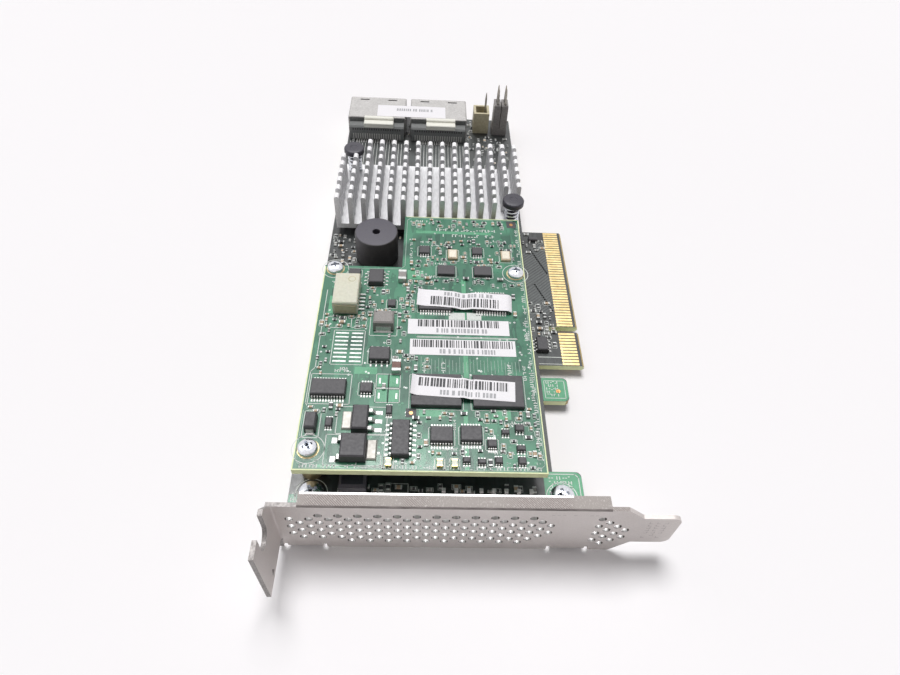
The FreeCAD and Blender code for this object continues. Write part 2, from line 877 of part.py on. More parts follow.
def shrouded_header():
    owner = body("shrouded_header", size.shroud_left, shroud_front(), 0.0)
    face = sketch(owner, "XY_Plane")
    rectangle(face, 0.0, 0.0, size.shroud_width, size.shroud_length)
    pad(owner, face, size.shroud_height)
    wall = size.shroud_wall
    inside = sketch(owner, "XY_Plane", size.shroud_height)
    rectangle(inside, wall, wall, size.shroud_width - wall, size.shroud_length - wall)
    pocket(owner, inside, size.shroud_height - wall * 2)
    gap = sketch(owner, "XZ_Plane")
    middle = size.shroud_width / 2
    rectangle(gap, middle - size.shroud_slot / 2, size.shroud_height * 0.4,
              middle + size.shroud_slot / 2, size.shroud_height + wall)
    pocket(owner, gap, wall, True)
    holes = sketch(owner, "XY_Plane")
    for x, y in shroud_pin_places():
        half = size.pin_width / 2
        x = x - size.shroud_left
        y = y - shroud_front()
        rectangle(holes, x - half, y - half, x + half, y + half)
    pocket(owner, holes)
    tops = (size.shroud_pin_height * 0.55, size.shroud_pin_height)
    group("shrouded_header_pins",
          [square_pin(x, y, tail_end(), high) for (x, y), high in zip(shroud_pin_places(), tops)])


def jumper_pin_places():
    places = []
    for column in (0, 1):
        for row in (0, 1):
            places.append((size.jumper_left + size.pin_pitch * (column + 0.5),
                           jumper_front() + size.pin_pitch * (row + 0.5)))
    return places


def jumper_header():
    owner = body("jumper_header_base", size.jumper_left, jumper_front(), 0.0)
    side = size.pin_pitch * 2
    face = sketch(owner, "XY_Plane")
    rectangle(face, 0.0, 0.0, side, side)
    pad(owner, face, size.jumper_base_height)
    holes = sketch(owner, "XY_Plane")
    half = size.pin_width / 2
    for x, y in jumper_pin_places():
        x = x - size.jumper_left
        y = y - jumper_front()
        rectangle(holes, x - half, y - half, x + half, y + half)
    pocket(owner, holes)
    group("jumper_header_pins", [square_pin(x, y, tail_end(), size.jumper_pin_height)
                                 for x, y in jumper_pin_places()])

    caps = []
    gap = size.jumper_cap_gap / 2
    for column in (0, 1):
        left = size.jumper_left + size.pin_pitch * column + gap
        cap = box(left, jumper_front() + gap, size.jumper_base_height,
                  size.pin_pitch - gap * 2, side - gap * 2, size.jumper_cap_height)
        for row in (0, 1):
            x, y = jumper_pin_places()[column * 2 + row]
            hole = box(x - half, y - half, size.jumper_base_height - gap,
                       size.pin_width, size.pin_width, size.jumper_cap_height + gap * 2)
            cap = cut(cap, hole)
        caps.append(cap)
    group("jumper_caps", caps)


# -------------------------------------------------------------------- buzzer
def buzzer_pin_places():
    half = size.buzzer_pin_spacing / 2
    return [(size.buzzer_x - half, buzzer_y), (size.buzzer_x + half, buzzer_y)]


def buzzer():
    hole = size.buzzer_hole_radius
    tall = size.buzzer_height
    depth = tall - size.buzzer_hole_depth
    rim = size.fit * 4
    turned("buzzer", [
        (0.0, 0.0), (size.buzzer_radius, 0.0), (size.buzzer_radius, tall - rim),
        (size.buzzer_radius - rim, tall), (hole, tall), (hole, depth), (0.0, depth),
    ], size.buzzer_x, buzzer_y, 0.0)
    radius = size.pin_width / 2
    low = tail_end()
    group("buzzer_pins", [cylinder(x, y, low, radius, -low) for x, y in buzzer_pin_places()])


# -------------------------------------------------------------- module board
def module_top():
    return size.standoff_height + size.board_thickness


def standoff_places():
    left = size.module_left + size.module_screw_x
    return [(left, size.module_front + size.module_screw_y),
            (left, size.module_front + size.module_screw_rear),
            (size.module_left + size.module_screw_right,
             size.module_front + size.module_screw_rear)]


def module_board():
    owner = body("module_board", size.module_left, size.module_front, size.standoff_height)
    notch_x = size.module_notch_width
    notch_y = size.module_length - size.module_notch_length
    face = sketch(owner, "XY_Plane")
    outline(face, [
        (0.0, 0.0), (size.module_width, 0.0), (size.module_width, size.module_length),
        (notch_x, size.module_length), (notch_x, notch_y), (0.0, notch_y),
    ])
    pad(owner, face, size.board_thickness)
    holes = sketch(owner, "XY_Plane")
    for x, y in standoff_places():
        circle(holes, x - size.module_left, y - size.module_front, size.board_hole_radius)
    pocket(owner, holes)
    return owner


def standoffs():
    bore = size.standoff_bore_radius + size.fit * 2
    outer = size.standoff_radius
    spigot = size.standoff_spigot_radius
    profile = [(bore, -size.board_thickness), (spigot, -size.board_thickness), (spigot, 0.0),
               (outer, 0.0), (outer, size.standoff_height), (bore, size.standoff_height)]
    group("module_standoffs", [loose_turned(profile, x, y, 0.0) for x, y in standoff_places()])
    shank = size.module_screw_length
    head = size.screw_head_height
    screw = [(0.0, -shank), (size.standoff_bore_radius, -shank), (size.standoff_bore_radius, 0.0),
             (size.screw_head_radius, 0.0), (size.screw_head_radius, head * 0.45),
             (size.screw_head_radius * 0.72, head), (0.0, head)]
    group("module_screws", [loose_turned(screw, x, y, module_top()) for x, y in standoff_places()])


def stacking_connector():
    """The plug on the main board and the socket under the module."""
    owner = body("stacking_plug", size.stack_left, size.stack_front, 0.0)
    face = sketch(owner, "XY_Plane")
    rectangle(face, 0.0, 0.0, size.stack_width, size.stack_length)
    pad(owner, face, size.stack_plug_height)
    wall = size.stack_wall
    groove = sketch(owner, "XY_Plane", size.stack_plug_height)
    rectangle(groove, wall, wall, size.stack_width - wall, size.stack_length - wall)
    pocket(owner, groove, size.stack_plug_height / 2)
    socket = body("stacking_socket", size.stack_left, size.stack_front, size.stack_plug_height)
    outer = sketch(socket, "XY_Plane")
    rectangle(outer, 0.0, 0.0, size.stack_width, size.stack_length)
    pad(socket, outer, size.standoff_height - size.stack_plug_height)
    tongue = sketch(socket, "XY_Plane")
    inset = wall + size.fit
    rectangle(tongue, inset, inset, size.stack_width - inset, size.stack_length - inset)
    down = pad(socket, tongue, size.stack_plug_height / 2 - size.fit)
    down.Reversed = True


# ------------------------------------------------- parts on the module board
def bent_lead(x, y, way, reach, width, shoulder):
    """A lead that leaves a body's side at (x, y) along way and bends down to its foot."""
    thick = size.lead_thickness.value
    profile = [(0.0, shoulder), (reach * 0.32, shoulder), (reach * 0.55, thick), (reach, thick),
               (reach, 0.0), (reach * 0.45, 0.0), (reach * 0.22, shoulder - thick),
               (0.0, shoulder - thick)]
    along = FreeCAD.Vector(way[0], way[1], 0)
    side = FreeCAD.Vector(-way[1], way[0], 0) * width
    start = FreeCAD.Vector(x, y, 0) - side / 2
    points = [start + along * out + FreeCAD.Vector(0, 0, z) for out, z in profile]
    return Part.Face(Part.makePolygon(points + points[:1])).extrude(side)


def package(x, y, width, length, height, count, pitch, across, reach=1.0, lead_width=0.3):
    """A moulded chip and its rows of leads; across is True for leads to left and right."""
    lift = size.body_lift.value
    shapes = [block(x, y, lift, width, length, height - lift)]
    shoulder = (height + lift) / 2
    span = (count - 1) * pitch
    for side in (-1, 1):
        for number in range(count):
            along = number * pitch - span / 2
            if across:
                shapes.append(bent_lead(x + side * width / 2, y + along, (side, 0),
                                        reach, lead_width, shoulder))
            else:
                shapes.append(bent_lead(x + along, y + side * length / 2, (0, side),
                                        reach, lead_width, shoulder))
    return shapes


def on_module(label, shapes):
    solids(label, shapes, size.module_left, size.module_front, module_top())


def power_parts():
    """Power transistors, diode, choke and tantalum capacitors."""
    shapes = [block(13.1, 11.9, 0.1, 3.6, 6.2, 2.1), block(10.2, 11.9, 0.0, 2.2, 4.6, 0.6)]
    for number in (-1, 0, 1):
        shapes.append(bent_lead(14.9, 11.9 + number * 2.2, (1, 0), 2.6, 0.8, 1.2))
    shapes += [block(12.2, 4.8, 0.1, 5.4, 5.8, 2.4), block(16.0, 4.8, 0.0, 2.2, 4.8, 0.6)]
    for number in (-1, 1):
        shapes.append(bent_lead(9.5, 4.8 + number * 2.2, (-1, 0), 1.8, 1.1, 1.2))
    on_module("power_transistors", shapes)
    on_module("rectifier_diode", [block(2.7, 10.9, 0.1, 2.5, 4.0, 2.1),
                                  block(2.7, 8.6, 0.0, 1.6, 0.6, 1.0),
                                  block(2.7, 13.2, 0.0, 1.6, 0.6, 1.0)])
    on_module("module_choke", [block(16.5, 39.9, 0.1, 5.0, 4.2, 2.9),
                               block(16.5, 37.5, 0.0, 3.6, 0.6, 1.2),
                               block(16.5, 42.3, 0.0, 3.6, 0.6, 1.2)])
    capacitors = []
    for x, y in ((20.4, 56.0), (20.2, 26.4)):
        capacitors.append(block(x, y, 0.0, 2.0, 2.2, 1.5))
        for side in (-1, 1):
            capacitors.append(block(x, y + side * 1.4, 0.0, 2.0, 0.6, 1.5))
    on_module("module_capacitors", capacitors)


def logic_parts():
    """The leaded chips of the module board."""
    on_module("so8_chips", package(13.7, 55.3, 3.9, 4.9, 1.6, 4, 1.27, True)
              + package(16.1, 29.8, 4.9, 3.9, 1.6, 4, 1.27, False))
    on_module("gate_driver_chip", package(5.4, 20.0, 7.8, 4.4, 1.6, 12, 0.62, False))
    on_module("so14_chip", package(21.9, 7.4, 3.9, 8.7, 1.6, 7, 1.2, True, 1.2, 0.4))
    on_module("ssop_chips", package(30.6, 8.4, 5.0, 3.9, 1.5, 8, 0.6, False)
              + package(36.9, 8.7, 4.7, 3.9, 1.5, 7, 0.62, False))
    small = []
    for x, y, width, length in ((13.7, 20.4, 2.9, 2.8), (26.0, 66.5, 3.0, 3.0),
                                (40.3, 66.6, 3.0, 3.0), (41.3, 6.6, 2.1, 2.0)):
        small += package(x, y, width, length, 1.0, 4, width / 4.5, False, 0.8)
    on_module("msop_chips", small)
    on_module("cache_chips", package(29.0, 47.4, 8.4, 6.0, 1.1, 12, 0.65, False)
              + package(43.0, 47.6, 8.4, 6.0, 1.1, 12, 0.65, False))
    on_module("memory_chips", [block(29.4, 20.0, 0.0, 11.2, 8.6, 1.2),
                               block(43.3, 20.0, 0.0, 11.4, 8.6, 1.2)])
    on_module("flat_chips", [block(31.8, 58.9, 0.0, 4.6, 3.4, 0.9),
                             block(41.5, 58.9, 0.0, 4.7, 3.4, 0.9),
                             block(18.1, 46.6, 0.0, 2.0, 2.2, 0.8),
                             block(8.0, 57.2, 0.0, 3.0, 2.0, 1.0)])
    tiny = []
    for x, y, width, length in ((19.1, 14.6, 1.4, 2.4), (6.4, 11.2, 1.6, 2.4),
                                (44.3, 9.5, 1.8, 1.3), (47.4, 10.6, 2.0, 1.8),
                                (47.4, 5.6, 2.0, 1.4), (47.4, 2.6, 1.8, 1.8),
                                (35.8, 2.6, 1.7, 1.4), (39.0, 2.3, 1.8, 1.3),
                                (42.5, 2.6, 1.7, 1.6)):
        tiny += package(x, y, width, length, 1.0, 3, width / 3, False, 0.5)
    on_module("small_transistors", tiny)
    on_module("oscillators", [block(33.6, 65.2, 0.0, 2.6, 3.6, 0.9),
                              block(48.0, 65.2, 0.0, 2.6, 3.6, 0.9)])
    on_module("module_leds", [block(x, 1.9, 0.0, 1.2, 1.8, 0.7) for x in (19.6, 30.2, 33.3)])


def power_connector():
    on_module("power_connector", [block(6.9, 48.2, 0.0, 6.1, 10.4, 4.0)])
    on_module("power_connector_pins",
              [block(10.7, 44.4 + number * 1.25, 0.0, 1.5, 0.5, 0.5) for number in range(5)])


def module_labels():
    thin = size.label_thickness.value
    on_module("label_cache", [block(36.4, 47.6, 1.1, 23.9, 5.6, thin)])
    on_module("label_upper", [block(34.8, 39.4, 0.0, 24.8, 4.8, thin)])
    on_module("label_lower", [block(35.7, 33.0, 0.0, 25.3, 4.8, thin)])
    on_module("label_memory", [block(35.4, 20.3, 1.2, 23.4, 5.4, thin)])


def passives(label, places, x, y, z):
    """Two-terminal chips, each with its ceramic middle and two plated ends."""
    shapes = []
    width = size.passive_width.value
    tall = size.passive_height.value
    cap = size.passive_end.value
    middle = size.passive_length.value - 2 * cap
    for px, py, upright_part in places:
        if upright_part:
            shapes.append(block(px, py, 0.0, width, middle, tall))
            for side in (-1, 1):
                shapes.append(block(px, py + side * (middle + cap) / 2, 0.0, width, cap, tall))
        else:
            shapes.append(block(px, py, 0.0, middle, width, tall))
            for side in (-1, 1):
                shapes.append(block(px + side * (middle + cap) / 2, py, 0.0, cap, width, tall))
    solids(label, shapes, x, y, z)


def board_passives():
    module_places = [(6.4, 40.0, False), (6.4, 15.6, True), (17.6, 21.0, True),
                     (24.6, 26.4, True), (27.0, 56.0, False), (37.0, 56.2, False),
                     (46.0, 56.2, False), (49.0, 50.0, True), (49.0, 44.0, True),
                     (25.0, 12.8, False), (49.6, 14.2, True), (22.6, 61.6, True)]
    passives("module_passives", module_places, size.module_left, size.module_front, module_top())
    main_places = [(4.2, 82.0, True), (4.2, 85.0, True), (6.2, 83.4, True), (3.2, 88.6, False),
                   (3.2, 90.4, False), (58.6, 58.6, False), (58.6, 60.8, False),
                   (58.6, 63.0, True), (60.4, 63.2, True), (45.6, 146.0, True),
                   (47.8, 146.0, True), (50.0, 146.0, True)]
    passives("main_board_passives", main_places, 0.0, 0.0, 0.0)


def main_board_parts():
    x = size.left_ear_width + size.corner_radius / 2
    y = size.recess_setback + size.fit * 3
    node(box(x, y, 0.0, size.choke_width, size.choke_length, size.choke_height), "front_choke")
    first = (size.inner_width - size.activity_led_inset).value
    gap = size.activity_led_pitch.value
    solids("activity_leds", [block(first + number * gap, 1.2, 0.0, 0.8, 1.0, 0.6)
                             for number in range(8)], 0.0, size.recess_setback, 0.0)
    solids("main_board_chips", package(58.6, 52.8, 3.0, 4.4, 1.4, 4, 1.1, True, 0.7)
           + package(60.0, 94.0, 2.8, 1.4, 1.0, 2, 1.9, False, 0.5), 0.0, 0.0, 0.0)


def port_label():
    thin = size.label_thickness
    x = size.port_left
    node(box(x, port_front + size.port_wall * 2, size.port_height, size.port_label_width,
             size.port_label_length, thin), "port_label")


# --------------------------------------------------------------------- build
main_board()
edge_contacts()
bracket()
bracket_screws()
controller()
heat_sink()
push_pins()
ports()
port_label()
shrouded_header()
jumper_header()
buzzer()
module_board()
standoffs()
stacking_connector()
power_parts()
logic_parts()
power_connector()
module_labels()
board_passives()
main_board_parts()
doc.recompute()

for item in doc.Objects:
    if "Invalid" in item.State or "Error" in item.State:
        raise RuntimeError("%s (%s) did not build: %s" % (item.Label, item.Name, item.State))
for item in nodes:
    if item.Shape.isNull() or not item.Shape.isValid():
        raise RuntimeError("%s has no valid shape" % item.Label)
for item in nodes:
    item.Shape.exportStep("parts/%s.step" % item.Label)
    print("%-24s %3d solids" % (item.Label, len(item.Shape.Solids)))
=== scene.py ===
"""Looks of a low-profile storage controller card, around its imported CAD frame.

Lengths are in millimetres until a piece is made.  The module board's details
are placed by (u, v) from its front left corner; the main board's by (x, y) from
its plain edge and the bracket's outer face.
"""

import math
import random

import bpy
from mathutils import Matrix, Vector


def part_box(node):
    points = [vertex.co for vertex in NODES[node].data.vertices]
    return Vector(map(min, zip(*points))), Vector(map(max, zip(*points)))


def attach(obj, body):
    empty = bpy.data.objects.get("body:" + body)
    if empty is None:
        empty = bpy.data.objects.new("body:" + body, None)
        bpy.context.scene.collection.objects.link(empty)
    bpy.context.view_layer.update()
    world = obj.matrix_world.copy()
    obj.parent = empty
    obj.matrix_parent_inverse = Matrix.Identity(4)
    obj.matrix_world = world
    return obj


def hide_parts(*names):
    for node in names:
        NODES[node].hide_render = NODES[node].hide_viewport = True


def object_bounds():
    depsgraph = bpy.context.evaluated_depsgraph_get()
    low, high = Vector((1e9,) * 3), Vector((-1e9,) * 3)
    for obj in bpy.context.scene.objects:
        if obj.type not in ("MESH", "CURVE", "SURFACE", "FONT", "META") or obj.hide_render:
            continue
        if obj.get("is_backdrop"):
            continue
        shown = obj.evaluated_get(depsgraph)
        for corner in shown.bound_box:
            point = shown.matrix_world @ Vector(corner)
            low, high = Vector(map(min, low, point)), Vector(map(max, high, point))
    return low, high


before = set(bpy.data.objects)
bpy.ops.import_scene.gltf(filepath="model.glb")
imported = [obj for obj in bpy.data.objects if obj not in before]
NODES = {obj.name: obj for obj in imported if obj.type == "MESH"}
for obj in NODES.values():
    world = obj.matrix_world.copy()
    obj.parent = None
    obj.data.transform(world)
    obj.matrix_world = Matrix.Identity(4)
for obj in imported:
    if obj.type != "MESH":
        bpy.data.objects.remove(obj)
cad_low, cad_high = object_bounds()
MM = 0.001
EAR_SETBACK = 6.0            # bracket face to the main board's ears
SKIN = 0.02                  # ink and copper stand this far above a board
GRID = 0.25                  # small parts stand on this grid
PART_HEIGHT = 0.38           # of a small part
PAPER = 0.09                 # thickness of a label
SCREW_CLEARANCE = 3.4        # round a module screw, where no small part stands
FLAT = (1.0, 1.0, 1.0)
dice = random.Random(7)


# ---- materials
class Look:
    """A procedural material built on one Principled shader."""

    def __init__(self, name, colour, rough, metal=0.0, **sockets):
        self.material = bpy.data.materials.new(name)
        self.material.use_nodes = True
        self.tree = self.material.node_tree
        self.shader = self.tree.nodes["Principled BSDF"]
        self.set(self.shader, {"Base Color": (*colour, 1.0), "Roughness": rough,
                               "Metallic": metal, **sockets})
        place = self.node("ShaderNodeTexCoord")
        scale = self.node("ShaderNodeVectorMath", operation="SCALE")
        scale.inputs["Scale"].default_value = 1.0 / MM
        self.link(place.outputs["Object"], scale.inputs[0])
        self.where = scale.outputs[0]

    def node(self, kind, **attributes):
        made = self.tree.nodes.new(kind)
        for name, value in attributes.items():
            setattr(made, name, value)
        return made

    def set(self, node, values):
        for name, value in values.items():
            node.inputs[name].default_value = value

    def link(self, source, target):
        self.tree.links.new(source, target)

    def texture(self, kind, output, stretch, values, **attributes):
        made = self.node("ShaderNodeTex" + kind, **attributes)
        self.set(made, values)
        scaled = self.node("ShaderNodeVectorMath", operation="MULTIPLY")
        scaled.inputs[1].default_value = stretch
        self.link(self.where, scaled.inputs[0])
        self.link(scaled.outputs[0], made.inputs["Vector"])
        return made.outputs[output]

    def noise(self, scale, detail=3.0, stretch=FLAT):
        """Noise with scale bumps to the millimetre."""
        return self.texture("Noise", "Fac", stretch, {"Scale": scale, "Detail": detail})

    def cells(self, scale, stretch):
        return self.texture("Voronoi", "Color", stretch, {"Scale": scale}, distance="MANHATTAN")

    def slanted_waves(self, scale, distortion):
        values = {"Scale": scale, "Distortion": distortion, "Detail": 2.0}
        return self.texture("Wave", "Fac", FLAT, values, bands_direction="DIAGONAL")

    def remap(self, factor, low=0.0, high=1.0, start=0.3, end=0.7):
        made = self.node("ShaderNodeMapRange")
        self.set(made, {"From Min": start, "From Max": end, "To Min": low, "To Max": high})
        self.link(factor, made.inputs["Value"])
        return made.outputs["Result"]

    def blend(self, factor, first, second):
        """Mix two colours, or two colour outputs, by a factor."""
        made = self.node("ShaderNodeMix", data_type="RGBA")
        self.link(factor, made.inputs["Factor"])
        for socket, value in ((made.inputs[6], first), (made.inputs[7], second)):
            if isinstance(value, tuple):
                socket.default_value = (*value, 1.0)
            else:
                self.link(value, socket)
        return made.outputs[2]

    def colour(self, output):
        self.link(output, self.shader.inputs["Base Color"])

    def rough(self, factor, low, high):
        self.link(self.remap(factor, low, high), self.shader.inputs["Roughness"])

    def bump(self, factor, depth, strength=1.0):
        """Raise the surface by depth millimetres where the factor is 1."""
        made = self.node("ShaderNodeBump")
        self.set(made, {"Strength": strength, "Distance": depth * MM})
        self.link(factor, made.inputs["Height"])
        self.link(made.outputs["Normal"], self.shader.inputs["Normal"])
        return self


def tinted(name, dark, light, rough, metal=0.0, grain=2.0, depth=0.01, stretch=FLAT, **sockets):
    """A finish whose colour, gloss and relief vary with one grain."""
    look = Look(name, dark, rough, metal, **sockets)
    fine = look.noise(grain, 4.0, stretch)
    look.colour(look.blend(look.remap(fine), dark, light))
    look.rough(look.noise(grain * 0.3), rough * 0.85, rough * 1.2)
    return look.bump(fine, depth).material


def solder_mask(name, ground, copper, rough, scale):
    """Lacquer over copper: pours, routed lines and a fine orange-peel gloss."""
    look = Look(name, ground, rough, **{"Coat Weight": 0.35, "Coat Roughness": 0.12})
    pours = look.remap(look.noise(scale, 1.0), 0.0, 1.0, 0.44, 0.56)
    routes = look.cells(scale * 9.0, (1.0, 0.16, 1.0))
    lines = look.remap(routes, 0.0, 1.0, 0.35, 0.65)
    base = look.blend(pours, ground, copper)
    middle = tuple((a + b) / 2 for a, b in zip(ground, copper))
    look.colour(look.blend(lines, base, middle))
    look.rough(look.noise(0.6), rough * 0.8, rough * 1.3)
    return look.bump(lines, 0.03, 0.6).material


def satin_steel():
    """Nickel-plated sheet with a fine rolled grain and faint handling marks."""
    look = Look("satin_nickel_steel", (0.60, 0.56, 0.54), 0.5, 0.5)
    grain = look.noise(3.0, 3.0, (0.35, 1.6, 1.6))
    speckle = look.noise(7.0, 2.0)
    cloud = look.noise(0.08, 3.0)
    sheet = look.blend(look.remap(cloud), (0.58, 0.535, 0.515), (0.67, 0.625, 0.605))
    look.colour(look.blend(look.remap(speckle, 0.0, 0.5), sheet, (0.76, 0.72, 0.70)))
    look.rough(grain, 0.42, 0.6)
    return look.bump(speckle, 0.02, 0.5).material


def hatched_steel():
    """The lip's sheet: fine diagonal drawing marks across a speckled plating."""
    plain = (0.46, 0.42, 0.40)
    look = Look("hatched_steel", plain, 0.8, **{"Specular IOR Level": 0.12})
    marks = look.slanted_waves(1.3, 0.6)
    speckle = look.noise(4.0, 2.0, (1.0, 0.5, 1.0))
    worn = look.noise(0.09, 2.0, (1.0, 0.2, 1.0))
    hatch = look.blend(look.remap(marks), (0.30, 0.26, 0.25), (0.54, 0.49, 0.47))
    sheet = look.blend(look.remap(worn, 0.0, 1.0, 0.42, 0.55), hatch, plain)
    look.colour(look.blend(look.remap(speckle, 0.0, 0.7, 0.55, 0.75), sheet, (0.76, 0.72, 0.70)))
    return look.bump(speckle, 0.02, 0.5).material


def paper():
    look = Look("label_paper", (0.90, 0.88, 0.91), 0.62)
    fibre = look.noise(5.0, 5.0, (1.0, 0.4, 1.0))
    look.colour(look.blend(look.remap(fibre), (0.86, 0.84, 0.87), (0.95, 0.93, 0.96)))
    return look.bump(fibre, 0.01, 0.4).material


module_mask = solder_mask("module_mask", (0.010, 0.090, 0.052), (0.055, 0.245, 0.140),
                          0.34, 0.09)
bright_mask = solder_mask("bright_mask", (0.085, 0.34, 0.18), (0.11, 0.40, 0.22), 0.32, 0.3)
main_mask = solder_mask("main_mask", (0.026, 0.028, 0.028), (0.058, 0.066, 0.066), 0.36, 0.12)
laminate = tinted("laminate_edge", (0.76, 0.84, 0.46), (0.92, 0.96, 0.62), 0.55, grain=2.5,
                  stretch=(0.3, 0.3, 4.0))
gold_laminate = tinted("gold_laminate", (0.42, 0.30, 0.09), (0.58, 0.44, 0.17), 0.5, grain=2.5,
                       stretch=(0.3, 0.3, 4.0))
ink = tinted("white_ink", (0.62, 0.66, 0.62), (0.80, 0.82, 0.79), 0.6, grain=3.0)
faint_ink = tinted("thin_white_ink", (0.30, 0.44, 0.36), (0.48, 0.58, 0.51), 0.6, grain=3.0)
trace = tinted("covered_trace", (0.085, 0.095, 0.095), (0.12, 0.13, 0.13), 0.4)
copper_spot = tinted("bare_copper", (0.55, 0.25, 0.10), (0.72, 0.38, 0.18), 0.35, 1.0)
ring_metal = tinted("screw_land", (0.42, 0.34, 0.18), (0.58, 0.48, 0.28), 0.4, 0.8)
pin_metal = tinted("pin_metal", (0.34, 0.31, 0.27), (0.58, 0.55, 0.50), 0.3, 0.9, grain=1.5,
                   stretch=(1.0, 1.0, 0.2))
tin = tinted("tinned_metal", (0.46, 0.455, 0.44), (0.68, 0.675, 0.66), 0.4, 0.65, grain=4.0)
tab_metal = tinted("tab_metal", (0.46, 0.44, 0.4), (0.66, 0.64, 0.6), 0.5, 0.3, grain=1.0)
solder = tinted("solder", (0.42, 0.43, 0.42), (0.66, 0.675, 0.66), 0.42, 0.55, depth=0.05)
gold = tinted("gold_plate", (0.8, 0.6, 0.26), (0.93, 0.75, 0.4), 0.3, 1.0, grain=1.2)
steel = satin_steel()
lip_steel = hatched_steel()
# painted highlight: a pale steel for the vents' upward-facing lower walls and for a strip along
# the lip's rear edge
highlight_steel = tinted("painted_pale_highlight", (0.86, 0.85, 0.84), (0.96, 0.95, 0.94), 0.35, 0.3, grain=3.0)
# painted shade: a dark steel for the sheet's upward edges left of the lip and for the screw tab's
# edges
dark_edge_shade = tinted("painted_edge_shade", (0.2, 0.185, 0.18), (0.4, 0.375, 0.365), 0.5, 0.3, grain=3.0)
# painted shade: a dark steel for the bend at the top of the plate and for a wedge on the screw tab
shade_steel = tinted("painted_dark_shade", (0.16, 0.14, 0.135), (0.30, 0.27, 0.26), 0.55, 0.2,
                    stretch=(0.2, 1.0, 1.0), **{"Specular IOR Level": 0.2})
mark_steel = tinted("pressed_mark", (0.42, 0.385, 0.375), (0.52, 0.48, 0.47), 0.5, 0.4)
# painted shade: a dark steel for the vents' side walls
vent_side_shade = tinted("painted_vent_shade", (0.10, 0.09, 0.085), (0.20, 0.18, 0.17), 0.5, 0.4, grain=3.0)
bright_steel = tinted("bright_steel", (0.62, 0.64, 0.68), (0.82, 0.84, 0.88), 0.24, 1.0)
aluminium = tinted("extruded_aluminium", (0.6, 0.6, 0.61), (0.74, 0.74, 0.75), 0.5, 0.6,
                   grain=2.5, stretch=(1.0, 0.2, 1.0))
# painted highlight: a paler aluminium for the heat sink's fin tops; their lower roughness is the
# real gloss
fin_top_highlight = tinted("fin_top_highlight", (0.84, 0.84, 0.85), (0.95, 0.95, 0.96), 0.34, 0.8,
                        grain=5.0, depth=0.02)
epoxy = tinted("moulded_epoxy", (0.045, 0.043, 0.048), (0.068, 0.065, 0.071), 0.5, grain=6.0)
nylon_black = tinted("black_nylon", (0.035, 0.033, 0.045), (0.055, 0.052, 0.068), 0.42,
                     grain=3.0)
slate_top = tinted("slate_polyester", (0.075, 0.07, 0.088), (0.1, 0.095, 0.116), 0.45,
                   grain=4.0)
dark_housing = tinted("dark_housing", (0.15, 0.155, 0.155), (0.21, 0.218, 0.215), 0.5,
                      grain=3.0)
jumper_black = tinted("jumper_black", (0.2, 0.185, 0.18), (0.31, 0.29, 0.28), 0.4)
cream = tinted("cream_nylon", (0.7, 0.66, 0.53), (0.78, 0.74, 0.61), 0.4, grain=1.5,
               **{"Subsurface Weight": 0.1})
latch_cream = tinted("latch_nylon", (0.86, 0.85, 0.76), (0.93, 0.92, 0.85), 0.4, grain=1.5)
tan = tinted("tan_nylon", (0.52, 0.46, 0.3), (0.64, 0.58, 0.41), 0.45, grain=1.5)
shell_steel = tinted("port_steel", (0.40, 0.39, 0.38), (0.52, 0.51, 0.50), 0.45, 0.6,
                     grain=1.6, depth=0.03)
ferrite = tinted("pressed_powder", (0.24, 0.225, 0.215), (0.38, 0.355, 0.345), 0.6, grain=5.0,
                 depth=0.03)
brown_case = tinted("tantalum_case", (0.13, 0.055, 0.045), (0.20, 0.10, 0.08), 0.5, grain=3.0)
ceramic_tan = tinted("ceramic_tan", (0.42, 0.30, 0.19), (0.55, 0.42, 0.30), 0.5, grain=3.0)
ceramic_dark = tinted("ceramic_dark", (0.035, 0.035, 0.04), (0.06, 0.06, 0.065), 0.45)
ceramic_grey = tinted("ceramic_grey", (0.26, 0.25, 0.24), (0.36, 0.35, 0.33), 0.5)
crystal_base = tinted("crystal_base", (0.56, 0.44, 0.30), (0.66, 0.54, 0.40), 0.5, grain=3.0)
lid_metal = tinted("crystal_lid", (0.72, 0.66, 0.54), (0.84, 0.79, 0.68), 0.35, 0.3)
lens = tinted("led_lens", (0.80, 0.78, 0.58), (0.90, 0.89, 0.72), 0.25,
              **{"Subsurface Weight": 0.2})
white_dot = tinted("white_lens", (0.92, 0.92, 0.91), (0.98, 0.98, 0.98), 0.3)
label_paper = paper()
print_black = tinted("printed_black", (0.035, 0.035, 0.04), (0.075, 0.075, 0.08), 0.6)
print_grey = tinted("printed_grey", (0.36, 0.36, 0.38), (0.50, 0.50, 0.52), 0.6)


# ---- mesh tools
def loop(x0, y0, x1, y1, z):
    """The four corners of a level rectangle."""
    return [(x0, y0, z), (x1, y0, z), (x1, y1, z), (x0, y1, z)]


def circle(x, y, z, radius, sides):
    turns = [math.tau * number / sides for number in range(sides)]
    return [(x + radius * math.cos(turn), y + radius * math.sin(turn), z) for turn in turns]


def walls(sides, levels):
    """Faces between rings of points that follow each other upwards."""
    return [(base + side, base + (side + 1) % sides,
             base + sides + (side + 1) % sides, base + sides + side)
            for base in range(0, sides * levels, sides) for side in range(sides)]


